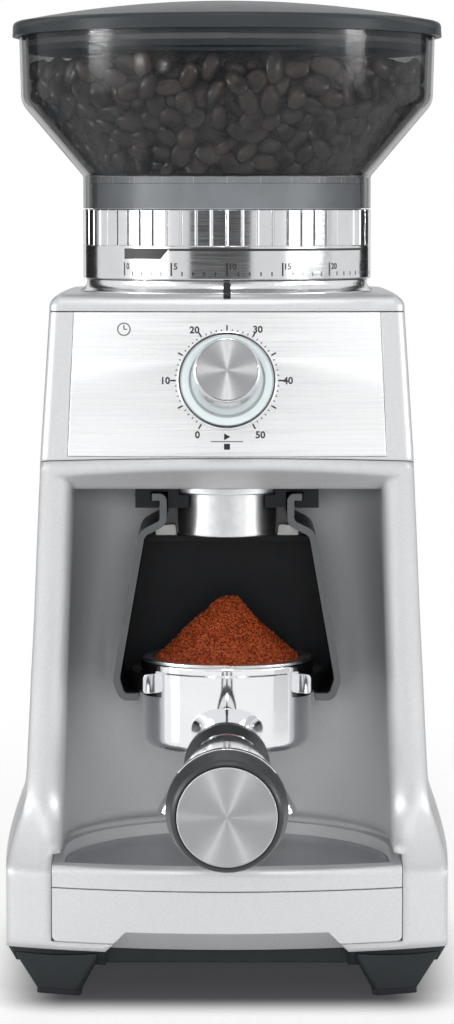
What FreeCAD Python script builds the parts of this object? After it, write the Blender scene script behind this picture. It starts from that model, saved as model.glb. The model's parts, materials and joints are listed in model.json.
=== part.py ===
import FreeCAD, Part
import math
import os

# Burr coffee grinder with its portafilter docked, in millimetres, +Z up, front towards -Y.
# Every piece is modelled about the burr axis on the counter, and the whole is moved on export
# so that the origin lies under the middle of its bounding box.

# Fits
GAP = 0.3                    # open seam between pieces that don't move together
RUN = 0.05                   # radial clearance of a shaft in its bearing
SNUG = 0.02                  # radial clearance of pieces fixed on one another
SEAM = 0.4                   # shadow line between casing pieces
SLIDE = 0.4                  # room on each side of a piece that slides
WALL = 2.6                   # moulded casing wall
THROUGH = 1.0                # how far a cutter runs past the face it opens
FAR = 400.0                  # beyond the machine on every side

# Heights above the counter, from the feet up
PAD = 2.0                    # rubber pad under each foot
PLATE_BOTTOM = 12.0          # underside of the base plate
BASE_BOTTOM = 18.0           # lower edge of the silver casing
BASE_RISE = 29.8
FLARE_RISE = 31.0            # the base flares into the tower over this height
TOWER_RISE = 130.6
HEAD_RISE = 56.0             # height of the control panel
COVER_RISE = 6.9
BOSS_RISE = 4.9              # boss on the top cover, under the collar
BAND_RISE = 13.8             # smooth band of the collar
GROOVED_RISE = 14.3
NECK_RISE = 13.3
CONE_RISE = 29.3             # sloping part of the hopper
BOWL_RISE = 29.3
LID_RISE = 11.3
BASE_TOP = BASE_BOTTOM + BASE_RISE
FLARE_TOP = BASE_TOP + FLARE_RISE
CHIN = FLARE_TOP + TOWER_RISE            # front edge of the seam between tower and head
HEAD_TOP = CHIN + HEAD_RISE
COVER_TOP = HEAD_TOP + COVER_RISE
BOSS_TOP = COVER_TOP + BOSS_RISE
COLLAR_BAND = BOSS_TOP + BAND_RISE
COLLAR_TOP = COLLAR_BAND + GROOVED_RISE
NECK_TOP = COLLAR_TOP + NECK_RISE
SHOULDER = NECK_TOP + CONE_RISE
HOPPER_TOP = SHOULDER + BOWL_RISE
HEIGHT = HOPPER_TOP + LID_RISE           # crown of the lid

# Gear train and motor in plan
MODULE = 1.0
PINION_TEETH = 14
WHEEL_TEETH = 38
SMALL_TEETH = 16
BURR_TEETH = 44
IDLER_Y = MODULE * (SMALL_TEETH + BURR_TEETH) / 2
MOTOR_Y = IDLER_Y + MODULE * (PINION_TEETH + WHEEL_TEETH) / 2
MOTOR_R = 26.0
MOTOR_ROOM = 4.1             # between the motor and the back wall of the recess

# Portafilter and cradle in plan; the recess clears them and stays in front of the motor
BASKET_R = 29.2              # inner radius, for a 58 mm tamper
CUP_R = BASKET_R + 4.6
RIM_R = CUP_R + 0.7
EAR_R = CUP_R + 5.4
KNEE_X = EAR_R + 4.4         # widest point of the cradle
CRADLE_SHEET = 2.7
CRADLE_REACH = RIM_R + 4.5   # from the outlet's axis to the cradle's back
CRADLE_ROOM = 8.688          # from the cradle's rear corner to the tray's edge
TRAY_HALF = math.hypot(KNEE_X + CRADLE_SHEET / 2, CRADLE_REACH) + CRADLE_ROOM
NOSE_FOOT = 3.2              # rounding of the pillars' front edges at the tray
RECESS_FOOT = TRAY_HALF + GAP - NOSE_FOOT    # half width and rear radius at the tray
OUTLET_Y = MOTOR_Y - MOTOR_R - MOTOR_ROOM - WALL - RECESS_FOOT
CRADLE_BACK = OUTLET_Y + CRADLE_REACH

# Casing plan: half widths at the front corner, and how far front and back stand from the burr axis
HEAD_HALF = 69.3
FLARE_HALF = 79.4
BASE_HALF = 86.5
SIDE_BULGE = 2.8             # the sides of the base swell out between their corners
HEAD_BULGE = 0.8
HEAD_FRONT = OUTLET_Y - 26.0
PILLAR_FRONT = HEAD_FRONT - 2.0
BASE_FRONT = HEAD_FRONT - 24.0
HEAD_BACK = 88.0
FLARE_BACK = 95.0
BASE_BACK = 108.0
HEAD_BOW = 500.0             # plan radius of the front
BASE_BOW = 240.0
FRONT_CORNER = 4.2
BACK_CORNER = 14.0
COVER_EDGE = 5.5             # rounding of the top cover's edge
PANEL_TILT = 14.0            # degrees, the control panel leans back
TOWER_SECTIONS = (1.0, 0.87, 0.67, 0.44, 0.21, 0.08)
FLARE_SECTIONS = (1.0, 0.8, 0.6, 0.4, 0.2, 0.0)

# Drip tray
TRAY_BOTTOM = BASE_BOTTOM + 3.2
TRAY_TOP = BASE_TOP + 3.0
TRAY_LIFT = 0.2              # the tray slides this far above the floor of its well
TRAY_RIM = 3.6
TRAY_BAR = 9.0               # depth of the bar along the tray's front
TRAY_FLOOR = 2.6
SHEET_TOP = TRAY_TOP - 4.8   # steel sheet in the tray
SHEET = 1.2
SHEET_LEDGE = 4.0            # width of the ledge that carries the sheet
TRAY_SEAM = TRAY_TOP - 8.7   # top of the tray's front plate
FRONT_PLATE = 8.0            # depth of the front plate
PLATE_CORNER = 2.2
FINGER_FOOT = TRAY_HALF - 21.0           # half width of the finger recess at the base's lower edge
FINGER_RISE = 8.0
FINGER_DEPTH = 7.2
FINGER_BACK = BASE_FRONT + BASE_BOW - math.sqrt((BASE_BOW - FRONT_PLATE) ** 2 - FINGER_FOOT ** 2) + GAP

# Recess under the head
NOSE_SHARE = 0.92            # share of the pillars' width that their rounded front edges take above it
NOSE_OVER = 0.25             # how far the rounding runs past the casing's front
RECESS_HEAD = RECESS_FOOT - 4.8
RECESS_CEILING = CHIN - 13.0
CEILING_FRONT = HEAD_FRONT + 2.0         # where the ceiling bends down to the chin
CEILING_BEND = 10.0
CHIN_LIP = 2.2
LIP_TOP = BASE_TOP + 6.2     # step round the foot of the recess wall

# Feet and screws
FOOT_OUTER = BASE_HALF - 1.6
FOOT_INNER = FOOT_OUTER - 36.5
FOOT_OUTER_LOW = FOOT_OUTER - 10.6       # the same at the pad
FOOT_INNER_LOW = FOOT_INNER + 8.4
FOOT_DEPTH = 46.0
FOOT_INSET = 0.9             # behind the base's front
FOOT_CORNER = 2.0
SCREW_X = 30.0
SCREW_PLACES = [(x, y) for y in (BASE_FRONT + 32, BASE_BACK - 8) for x in (-SCREW_X, SCREW_X)]
SCREW_R = 1.4
SCREW_LENGTH = 3.5
SCREW_HEAD_R = 3.2
SCREW_HEAD = 2.0
SCREW_SLOT = 1.0
POST_R = 3.0                 # posts under the power board
BOARD = 1.6
BOARD_Z = BASE_BOTTOM + 22.0
BOARD_HALF = 40.0
BOARD_FRONT = 48.0
BOARD_BACK = 94.0

# Gears and gearbox
PRESSURE = math.radians(20)
ADDENDUM = 0.8
DEDENDUM = 1.05
BACKLASH = 0.25
FLANK_STEPS = 5
CASE_WALL = 2.6
CASE_FLOOR = RECESS_CEILING + WALL
CASE_INSIDE = CASE_FLOOR + CASE_WALL
LOW_GEAR = CASE_FLOOR + 4.4  # underside of the idler's large wheel
LOW_GEAR_TOP = LOW_GEAR + 6.0
HIGH_GEAR = LOW_GEAR_TOP + 2.0           # underside of the burr gear
HIGH_GEAR_TOP = HIGH_GEAR + 8.0
CASE_TOP = HIGH_GEAR_TOP + 5.0
CASE_LID = CASE_TOP + 2.5
PIN_R = 3.0
IDLER_HUB_R = 5.5

# Burrs and their shaft
SHAFT_R = 5.0
SPIGOT_R = SHAFT_R - 1.0     # lower end of the shaft
BEARING_R = SHAFT_R + 6.0
LOWER_BEARING_R = SPIGOT_R + 3.5
LOWER_BEARING = 5.0
CHAMBER_R = 36.0
CHAMBER_WALL = 3.0
CHAMBER_FLANGE = 6.0
CHAMBER_FLOOR = CASE_LID + 9.5
CHAMBER_INSIDE = CHAMBER_FLOOR + 3.0
BEARING_SEAT = CHAMBER_INSIDE - 3.6
BURR_FLOOR = CHAMBER_FLOOR + 16.0
BURR_GAP = 1.0
CONE_R = 19.5
CONE_BURR = 20.0             # height of the cone above the burr floor
CONE_TOP_R = SHAFT_R + 3.6
CONE_TEETH = 8
RING_BURR = 12.0
RING_TEETH = 36
BURR_MOUTH = 5.0             # height at which the burrs part
RING_BURR_R = CONE_R + 7.5
CARRIER_R = RING_BURR_R + 3.0
PADDLES = 4
IMPELLER_R = CHAMBER_R - CHAMBER_WALL - 2.0
IMPELLER = CHAMBER_FLOOR + 4.0
IMPELLER_DISC = 2.5
PADDLE_HEIGHT = 5.5
NUT_R = SHAFT_R + 3.0
NUT_HEIGHT = 6.0

# Grind collar
COLLAR_R = 58.2
COLLAR_WALL = 3.6
COLLAR_BORE = COLLAR_R - COLLAR_WALL
COLLAR_EDGE = 0.9            # bevel round the collar's top
GROOVES = 60
GROOVE_HALF = 0.6
GROOVE_DEPTH = 0.45
BOSS_R = COLLAR_R - 1.4
BOSS_BORE = BOSS_R - 5.2
BOSS_FLARE = 2.6
MARK_HALF = 1.45
MARK_RISE = 0.8
MARK_ROUND = 1.1
MARK_WRAP = 46               # angle that the index mark reaches down the cover's rounded edge
HUB_BOTTOM = BOSS_TOP + 1.2
HUB_RIM = HUB_BOTTOM + 7.0
HUB_TOP = HUB_BOTTOM + 10.0

# Motor
MOTOR_LENGTH = 66.6
MOTOR_BOTTOM = CASE_FLOOR - MOTOR_LENGTH
MOTOR_SHEET = 2.0
MOTOR_SHAFT_R = 2.5
MOTOR_NOSE_R = 8.6
ARMATURE_R = MOTOR_R - 8.0
ARMATURE_SLOTS = 12
FAN_Z = MOTOR_BOTTOM - 16.0
FAN_HEIGHT = 9.0
FAN_R = 22.0
FAN_HUB_R = 6.0
FAN_BLADES = 8

# Hopper and lid
HOPPER_R = 83.9
HOPPER_NECK_R = COLLAR_R
HOPPER_WALL = 2.5
HOPPER_DRAFT = 0.8
THROAT_R = 20.0
THROAT_BOTTOM = HUB_TOP + 2.0
SKIRT_BOTTOM = COLLAR_TOP - 9.2          # ring that centres the hopper in the collar
LID_R = HOPPER_R + 2.7
LID_SHEET = 2.5
LID_SAG = 8.2                # rise of the dome
LID_SKIRT = 2.8
PLUG_DEPTH = 9.3
SEAL_DEPTH = 0.8
SEAL_PROUD = 0.7

# Outlet
CHUTE_R = 19.6
CHUTE_BOTTOM = RECESS_CEILING - 19.4
CHUTE_LIP = 2.2
CHUTE_FLANGE = 3.4
CHUTE_FLANGE_SHEET = 2.4
DUCT_R = 15.0
DUCT_WALL = 2.0
DUCT_WINDOW = 11.0           # half width of the chamber's opening into the duct

# Timer dial, on the tilted panel
DIAL_HEIGHT = CHIN + 29.9
BEZEL_R = 19.4
BEZEL_HEIGHT = 1.2
LIGHT_R = 17.6
LIGHT_HEIGHT = 0.9
KNOB_R = LIGHT_R - 3.4
KNOB_FACE_R = KNOB_R - 1.6
KNOB_LENGTH = 18.5
KNOB_LIFT = 2.5              # room for the push
KNOB_RIM = 0.9
KNOB_CUP = 0.8               # the cap lies this deep in the face
KNOB_FACE = 6.0              # thickness of the knob's front
ENCODER_SHAFT_R = 3.0
ENCODER_HALF = 7.0
ENCODER_CLEAR = 2.0          # room around the shaft in the casing
ENCODER_DEPTH = 10.5
PANEL_SHEET = 1.2
PANEL_HALF_TOP = 59.4
PANEL_HALF_FOOT = 61.4
PANEL_EDGE = 0.6             # strip of casing under the panel

# Portafilter
BASKET_SHEET = 0.8
BASKET_LIP = 1.2
HOLE_CIRCLES = 4
HOLE_PITCH = 5.4
HOLE_R = 0.8
CUP_WALL = 2.9
CUP_BORE = 4.5
RIM_BAND = 2.8
EAR_HEIGHT = 7.6
EAR_ANGLE = 33.0             # half the angle that an ear spans
LEDGE_TOP = RECESS_CEILING - 80.8        # the cradle's ledges carry the ears
RIM_TOP = LEDGE_TOP + 11.6
CUP_BOTTOM = RIM_TOP - 34.4
BASKET_FLOOR = RIM_TOP - 22.0
SPOUT_Z = CUP_BOTTOM - 13.3  # crown of the spout's centre line
SPOUT_BEND = 24.0
SPOUT_R = 6.0
SPOUT_WALL = 1.6
SPOUT_COLLAR_R = 9.0
SPOUT_SPREAD = 69.0          # degrees
HANDLE_Z = CUP_BOTTOM + 3.7
HANDLE_ROOT = OUTLET_Y - 76.0
HANDLE_LENGTH = 119.5
HANDLE_END = HANDLE_ROOT - HANDLE_LENGTH
ROOT_R = 16.2
WAIST_R = 13.4
GRIP_R = 21.8
GRIP_END_R = 19.4
CAP_R = 17.5
CAP_DEPTH = 4.0
CAP_PROUD = 0.8
INLAY_ANGLE = 52.0           # half the angle that the inlay spans
INLAY_PROUD = 0.3
INLAY_DEPTH = 2.0

# Cradle
CRADLE_FRONT = OUTLET_Y - 20.0
CRADLE_TRIM = 3.5            # depth of the grey front edges
RAIL_X = 25.0                # the hooks that hang in the rail
RAIL_HALF = 36.0
RAIL_BOTTOM = RECESS_CEILING - 8.0
RAIL_ROOF = 1.6
HOOK_LENGTH = 4.4
HOOK_Z = RECESS_CEILING - 3.4
BEND_Z = RECESS_CEILING - 13.5           # the hook's leg bends out here
HIP = (RAIL_X + 8.5, RECESS_CEILING - 17.8)
KNEE = (KNEE_X, LEDGE_TOP + 5.5)
HEEL_X = EAR_R + 2.0
WEB_Z = RECESS_CEILING - 22.2            # shelf behind the outlet that carries the pads
WEB = 2.5
BACK_SHEET = 2.0
PAD_Y = -18.0
PAD_LENGTH = 8.0
PAD_INNER = RAIL_X - 4.7
PAD_WIDTH = 8.6
PAD_HEIGHT = 4.4

# Start plunger
PLUNGER_Z = LEDGE_TOP - 9.1
PLUNGER_R = 3.5
PLUNGER_HEAD_R = 5.5
PLUNGER_HEAD = 3.5
PLUNGER_REACH = 0.5          # gap between plunger and cup
SWITCH_Y = 31.0              # inner end of the plunger
SWITCH_TRAVEL = 4.0
SWITCH_HALF = 10.0
SWITCH_DEPTH = 10.0
SWITCH_RISE = 6.0
BRACKET = 2.0
BRACKET_HALF = 14.0

# Rear
GLAND_Z = BASE_BOTTOM + 16.0
GLAND_R = 9.0
GLAND_BORE = 4.0
GLAND_STEP = 2.2
GLAND_ROOT = 8.0
GLAND_LENGTH = 4.0
REAR_SIDE = 60.0             # the rear cover lies behind this
REAR_HALF = 45.0
REAR_LOW = BASE_TOP + 17.0
REAR_HIGH = REAR_LOW + 84.0
VENTS = 9
VENT_PITCH = 8.0
VENT_LOW = REAR_LOW + 8.0
VENT_HALF = REAR_HALF - 13.0

ORIGIN_SHIFT = FreeCAD.Vector(0, -(HANDLE_END + BASE_BACK + GLAND_LENGTH) / 2, 0)
TILT = math.radians(PANEL_TILT)
UP = FreeCAD.Vector(0, 0, 1)


# Drawing helpers

def vec(x, y, z):
    return FreeCAD.Vector(x, y, z)


def plan(z):
    """Places a flat outline (x, y) at height z."""
    return lambda u, w: vec(u, w, z)


def side(x):
    """Places a flat outline (y, z) at x."""
    return lambda u, w: vec(x, u, w)


def front(y):
    """Places a flat outline (x, z) at y."""
    return lambda u, w: vec(u, y, w)


def rounded(points, place, closed=True):
    """Wire through points (u, v) or (u, v, radius), with a tangent arc where a radius is given."""
    count = len(points)
    corners = []
    for i, point in enumerate(points):
        here = FreeCAD.Vector(point[0], point[1], 0)
        radius = point[2] if len(point) > 2 else 0
        if radius == 0:
            corners.append((here, None, here))
            continue
        before = FreeCAD.Vector(*points[i - 1][:2], 0) - here
        after = FreeCAD.Vector(*points[(i + 1) % count][:2], 0) - here
        before.normalize()
        after.normalize()
        half = before.getAngle(after) / 2
        middle = before + after
        middle.normalize()
        centre = here + middle * (radius / math.sin(half))
        cut = radius / math.tan(half)
        corners.append((here + before * cut, centre - middle * radius, here + after * cut))
    edges = []
    for i, (start, through, end) in enumerate(corners):
        if through:
            edges.append(Part.Arc(*[place(p.x, p.y) for p in (start, through, end)]).toShape())
        following = corners[(i + 1) % count][0]
        if (closed or i + 1 < count) and (following - end).Length > 1e-6:
            edges.append(Part.makeLine(place(end.x, end.y), place(following.x, following.y)))
    return Part.Wire(edges)


def chain(place, start, *moves):
    """Closed wire of lines and arcs: a move is an end point, or a (through, end) pair for an arc."""
    edges = []
    here = start
    for move in moves:
        if isinstance(move[0], tuple):
            through, end = move
            edges.append(Part.Arc(place(*here), place(*through), place(*end)).toShape())
        else:
            end = move
            edges.append(Part.makeLine(place(*here), place(*end)))
        here = end
    return Part.Wire(edges)


def extrude(wire, direction):
    return Part.Face(wire).extrude(direction)


def revolve(points, x=0.0, y=0.0):
    """Solid of revolution about the vertical through (x, y), from an outline of (radius, z)."""
    face = Part.Face(rounded(points, lambda r, z: vec(r, 0, z)))
    solid = face.revolve(vec(0, 0, 0), UP, 360)
    solid.translate(vec(x, y, 0))
    return solid


def revolve_along_y(points, z):
    """Solid of revolution about the horizontal line through height z, from an outline of (radius, y)."""
    face = Part.Face(rounded(points, lambda r, y: vec(r, y, z)))
    return face.revolve(vec(0, 0, z), vec(0, 1, 0), 360)


def cylinder(radius, bottom, top, x=0.0, y=0.0):
    return Part.makeCylinder(radius, top - bottom, vec(x, y, bottom))


def hole(radius, x=0.0, y=0.0):
    """Cutter for an upright hole through everything."""
    return cylinder(radius, -FAR, FAR, x, y)


def below(z):
    """Everything below a height."""
    return cylinder(FAR, -FAR, z)


def ring(outer, inner, bottom, top, x=0.0, y=0.0):
    return cylinder(outer, bottom, top, x, y).cut(hole(inner, x, y))


def rod(radius, start, end, z, x=0.0):
    """Cylinder along Y."""
    return Part.makeCylinder(radius, end - start, vec(x, start, z), vec(0, 1, 0))


def block(x0, x1, y0, y1, z0, z1):
    return Part.makeBox(x1 - x0, y1 - y0, z1 - z0, vec(x0, y0, z0))


def turned(shape, count, y=0.0):
    """Copies of a shape at even steps around the vertical through (0, y)."""
    copies = []
    for i in range(count):
        copy = shape.copy()
        copy.rotate(vec(0, y, 0), UP, i * 360 / count)
        copies.append(copy)
    return copies


def mirrored(shape):
    return shape.mirror(vec(0, 0, 0), vec(1, 0, 0))


def both(shape):
    """The shape and its mirror image, as one group of separate solids."""
    return Part.makeCompound([shape, mirrored(shape)])


def on_panel(shape):
    """Carries a shape drawn about +Z onto the control panel: +Z becomes the panel's outward normal."""
    placed = shape.copy()
    placed.rotate(vec(0, 0, 0), vec(1, 0, 0), 90 - PANEL_TILT)
    placed.translate(vec(0, panel_front(DIAL_HEIGHT), DIAL_HEIGHT))
    return placed


def panel_front(z):
    return HEAD_FRONT - (HEAD_TOP - z) * math.tan(TILT)


# Casing shape

def ease(t):
    """Smooth step from 0 to 1."""
    t = max(0.0, min(1.0, t))
    return t * t * (3 - 2 * t)


def between(low, high, share):
    return low + (high - low) * share


def casing_size(z):
    """Half width, side bulge, front, back and front radius of the casing at height z."""
    flare = ease((FLARE_TOP - z) / FLARE_RISE)
    rise = (HEAD_TOP - max(z, FLARE_TOP)) / (HEAD_TOP - FLARE_TOP)
    half = between(HEAD_HALF, FLARE_HALF, rise) + (BASE_HALF - FLARE_HALF) * flare
    back = between(HEAD_BACK, FLARE_BACK, rise) + (BASE_BACK - FLARE_BACK) * flare
    if z >= CHIN:
        ahead = panel_front(z)
    elif z >= FLARE_TOP:
        ahead = between(PILLAR_FRONT, panel_front(CHIN), ((z - FLARE_TOP) / TOWER_RISE) ** 2)
    else:
        ahead = between(PILLAR_FRONT, BASE_FRONT, min(1.0, (FLARE_TOP - z) / FLARE_RISE) ** 2)
    down = max(0.0, min(1.0, (CHIN - z) / (CHIN - BASE_TOP)))
    bow = 1 / between(1 / HEAD_BOW, 1 / BASE_BOW, down)
    return half, between(HEAD_BULGE, SIDE_BULGE, down), ahead, back, bow


def casing_outline(z, inset=0.0, height=None):
    """Plan outline of the casing as it is at height z, drawn at that height or at another."""
    half, bulge, ahead, back, bow = casing_size(z)
    half -= inset
    ahead += inset
    back -= inset
    bow -= inset
    corner = FRONT_CORNER - inset
    rear = BACK_CORNER - inset
    middle = ahead + bow
    centre_y = middle - math.sqrt((bow - corner) ** 2 - (half - corner) ** 2)
    share = bow / (bow - corner)
    touch = ((half - corner) * share, middle + (centre_y - middle) * share)
    dx, dy = touch[0] - (half - corner), touch[1] - centre_y
    turn = math.hypot(dx + corner, dy)
    through = (half - corner + (dx + corner) / turn * corner, centre_y + dy / turn * corner)
    bend = rear * (1 - math.sqrt(0.5))
    waist = (half + bulge, (centre_y + back - rear) / 2)

    def flip(point):
        return (-point[0], point[1])

    right = [(through, (half, centre_y)),
             (waist, (half, back - rear)),
             ((half - bend, back - bend), (half - rear, back))]
    left = [((bend - half, back - bend), (-half, back - rear)),
            (flip(waist), (-half, centre_y)),
            (flip(through), flip(touch))]
    place = plan(z if height is None else height)
    return chain(place, flip(touch), ((0, ahead), touch), *right, (rear - half, back), *left)


def casing_solid(inset=0.0, overshoot=0.0):
    """The whole casing as a solid, from the base's lower edge to the top seam."""
    head = Part.makeLoft([casing_outline(CHIN, inset), casing_outline(HEAD_TOP, inset)], True, True)
    steps = [between(FLARE_TOP, CHIN, share) for share in TOWER_SECTIONS]
    steps += [between(BASE_TOP, FLARE_TOP, share) for share in FLARE_SECTIONS]
    tower = Part.makeLoft([casing_outline(z, inset) for z in steps], True, False)
    base = extrude(casing_outline(BASE_TOP, inset, BASE_BOTTOM - overshoot), vec(0, 0, BASE_RISE + overshoot))
    solid = tower.fuse([head, base])
    if overshoot:
        solid = solid.fuse(extrude(casing_outline(HEAD_TOP, inset), vec(0, 0, overshoot)))
    return solid


def above_seam(gap=0.0):
    """Everything above the slanted seam between tower and head."""
    slab = block(-FAR, FAR, -FAR, FAR, 0, FAR)
    slab.rotate(vec(0, 0, 0), vec(1, 0, 0), -PANEL_TILT)
    slab.translate(vec(0, panel_front(CHIN), CHIN + gap))
    return slab


def u_outline(half, z, start=-FAR):
    """Plan of a U about the outlet's axis, open to the front."""
    diagonal = half * math.sqrt(0.5)
    return chain(plan(z), (half, start), (half, OUTLET_Y),
                 ((diagonal, OUTLET_Y + diagonal), (0, OUTLET_Y + half)),
                 ((-diagonal, OUTLET_Y + diagonal), (-half, OUTLET_Y)),
                 (-half, start), (half, start))


def recess_outline(z, grow):
    """Plan of the recess: a U with flared front edges."""
    share = (z - BASE_TOP) / (RECESS_CEILING - BASE_TOP)
    radius = between(RECESS_FOOT, RECESS_HEAD, share)
    half, _, ahead, _, bow = casing_size(z)
    round_room = NOSE_SHARE * (half - FRONT_CORNER - radius)
    nose = between(NOSE_FOOT, round_room, ease((z - BASE_TOP) / FLARE_RISE))
    wide = radius + nose + grow
    nose_y = ahead + bow - math.sqrt(bow ** 2 - (radius + nose) ** 2) - NOSE_OVER + nose + grow
    radius += grow
    bend = nose * (1 - math.sqrt(0.5))
    diagonal = radius * math.sqrt(0.5)
    return chain(plan(z), (wide, -FAR), (wide, nose_y - nose),
                 ((radius + bend, nose_y - nose + bend), (radius, nose_y)), (radius, OUTLET_Y),
                 ((diagonal, OUTLET_Y + diagonal), (0, OUTLET_Y + radius)),
                 ((-diagonal, OUTLET_Y + diagonal), (-radius, OUTLET_Y)), (-radius, nose_y),
                 ((-radius - bend, nose_y - nose + bend), (-wide, nose_y - nose)),
                 (-wide, -FAR), (wide, -FAR))


def recess_cutter(grow=0.0):
    """The space of the recess, with the bevelled chin at its front edge."""
    steps = [between(FLARE_TOP, CHIN + WALL, share) for share in TOWER_SECTIONS]
    steps += [between(BASE_TOP, FLARE_TOP, share) for share in FLARE_SECTIONS]
    column = Part.makeLoft([recess_outline(z, grow) for z in steps], True, False)
    floor = TRAY_BOTTOM - TRAY_LIFT - grow
    foot = Part.Face(recess_outline(BASE_TOP, grow)).extrude(vec(0, 0, floor - BASE_TOP))
    column = column.fuse(foot)
    ceiling = RECESS_CEILING + grow
    lip = CHIN - CHIN_LIP + grow
    profile = rounded([(FAR, 0), (FAR, ceiling), (CEILING_FRONT - grow / 3, ceiling, CEILING_BEND),
                       (panel_front(CHIN) - CHIN_LIP, lip), (-FAR, lip), (-FAR, 0)], side(-FAR))
    return column.common(extrude(profile, vec(2 * FAR, 0, 0)))


def tray_well(grow=0.0):
    """Space for the drip tray."""
    bottom = TRAY_BOTTOM - TRAY_LIFT - grow
    return extrude(u_outline(TRAY_HALF + GAP + grow, bottom), vec(0, 0, LIP_TOP + grow - bottom))


# Housing

def finger_space():
    """Room for fingers under the tray's front plate."""
    return extrude(finger_outline(0.0, TRAY_BOTTOM), vec(0, FAR + FINGER_BACK, 0))


def finger_outline(inset, top):
    """Front view of the finger recess, whose sides lean in at 45 degrees."""
    low = FINGER_FOOT - inset
    high = low - (top - BASE_BOTTOM)
    return rounded([(-low, 0), (low, 0), (low, BASE_BOTTOM), (high, top), (-high, top), (-low, BASE_BOTTOM)],
                   front(-FAR))


def housing():
    outer = casing_solid()
    inner = casing_solid(WALL, THROUGH)
    skin = outer.cut(inner)
    liner = recess_cutter(WALL).fuse(tray_well(WALL)).cut(below(BASE_BOTTOM)).common(inner)
    body = skin.cut(above_seam()).fuse(liner)
    body = body.cut(recess_cutter()).cut(tray_well()).cut(finger_space())
    body = body.cut(cylinder(DUCT_R + GAP, RECESS_CEILING - THROUGH, CHIN, 0, OUTLET_Y))
    body = body.cut(rod(PLUNGER_R + RUN, 0, REAR_SIDE, PLUNGER_Z))
    body = body.cut(block(-REAR_HALF, REAR_HALF, REAR_SIDE, FAR, REAR_LOW, REAR_HIGH))
    body = body.cut(rod(GLAND_R - GLAND_STEP + SNUG, REAR_SIDE, FAR, GLAND_Z))

    reach = REAR_HALF - GAP
    cover = skin.common(block(-reach, reach, REAR_SIDE, FAR, REAR_LOW + GAP, REAR_HIGH - GAP))
    for i in range(VENTS):
        z = VENT_LOW + i * VENT_PITCH
        cover = cover.cut(block(-VENT_HALF, VENT_HALF, REAR_SIDE, FAR, z, z + VENT_PITCH / 2))

    head = skin.common(above_seam(SEAM))
    sheet = outer.cut(casing_solid(PANEL_SHEET)).common(panel_prism(0.0))
    head = head.cut(outer.cut(casing_solid(PANEL_SHEET + RUN)).common(panel_prism(SEAM)))
    head = head.cut(on_panel(cylinder(ENCODER_SHAFT_R + ENCODER_CLEAR, -ENCODER_DEPTH, ENCODER_DEPTH)))
    panel = sheet.cut(on_panel(cylinder(LIGHT_R + SNUG, -ENCODER_DEPTH, ENCODER_DEPTH)))
    return {"main_body": body, "rear_cover": cover, "head_casing": head, "front_panel": panel}


def panel_prism(grow):
    """The part of the head's front that the control panel covers."""
    low = PANEL_HALF_FOOT + grow
    high = PANEL_HALF_TOP + grow
    lift = SEAM + PANEL_EDGE - grow
    top = HEAD_TOP + THROUGH
    outline = rounded([(-low, CHIN + lift), (low, CHIN + lift), (high, top), (-high, top)], front(-FAR))
    return extrude(outline, vec(0, FAR, 0)).common(above_seam(lift))


def cover_boss():
    skirt = BOSS_R + BOSS_FLARE
    return revolve([(BOSS_BORE, COVER_TOP - WALL), (skirt, COVER_TOP - WALL), (skirt, COVER_TOP + GAP),
                    (BOSS_R, COVER_TOP + BOSS_RISE / 2, 3), (BOSS_R, BOSS_TOP), (BOSS_BORE, BOSS_TOP)])


def cover_slab():
    slab = extrude(casing_outline(HEAD_TOP, 0, HEAD_TOP + SEAM), vec(0, 0, COVER_RISE - SEAM))
    rim = [e for e in slab.Edges if min(p.Point.z for p in e.Vertexes) > COVER_TOP - GAP]
    return slab.makeFillet(COVER_EDGE, rim)


def top_cover():
    inside = extrude(casing_outline(HEAD_TOP, WALL), vec(0, 0, COVER_RISE - WALL))
    skirt = BOSS_R + BOSS_FLARE
    seam = ring(skirt + SEAM, skirt, COVER_TOP - WALL / 2, COVER_TOP + THROUGH)
    return cover_slab().cut([inside, hole(BOSS_BORE)]).fuse(cover_boss()).cut(seam)


def index_marker():
    """Dark mark over the boss and the cover's rounded edge, against which the collar's scale is read."""
    bend = HEAD_FRONT + COVER_EDGE
    centre = COVER_TOP - COVER_EDGE
    top = BOSS_TOP - GAP
    raised = COVER_TOP + MARK_RISE

    def on_edge(radius, angle):
        return (bend - radius * math.sin(angle), centre + radius * math.cos(angle))

    turn = COVER_EDGE + MARK_RISE
    wrap = math.radians(MARK_WRAP)
    end = on_edge(turn, wrap)
    profile = chain(side(-MARK_HALF), (-BOSS_R, top), (-BOSS_R - MARK_RISE, top),
                    (-BOSS_R - BOSS_FLARE - MARK_RISE, raised), (bend, raised), (on_edge(turn, wrap / 2), end),
                    on_edge(COVER_EDGE - MARK_RISE, wrap), (-BOSS_R, centre), (-BOSS_R, top))
    low = end[1] - MARK_RISE
    pill = rounded([(-MARK_HALF, low, MARK_ROUND), (MARK_HALF, low, MARK_ROUND), (MARK_HALF, top, MARK_ROUND),
                    (-MARK_HALF, top, MARK_ROUND)], front(HEAD_FRONT - MARK_RISE))
    mark = extrude(profile, vec(2 * MARK_HALF, 0, 0)).common(extrude(pill, vec(0, COLLAR_R, 0)))
    return mark.cut(cover_slab().fuse(cover_boss()))


def base_plate():
    taper = 3.5
    plate = Part.makeLoft([casing_outline(BASE_BOTTOM, SEAM + taper, PLATE_BOTTOM),
                           casing_outline(BASE_BOTTOM, SEAM)], True, True)
    posts = [cylinder(POST_R, BASE_BOTTOM, BOARD_Z, x, y)
             for x in (2 * POST_R - BOARD_HALF, BOARD_HALF - 2 * POST_R)
             for y in (BOARD_FRONT + 2 * POST_R, BOARD_BACK - 2 * POST_R)]
    plate = plate.cut([finger_space()] + foot_legs()).fuse(posts)
    for x, y in SCREW_PLACES:
        plate = plate.cut(cylinder(SCREW_R + SNUG, 0, PLATE_BOTTOM + SCREW_LENGTH + GAP, x, y))
    return plate


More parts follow.
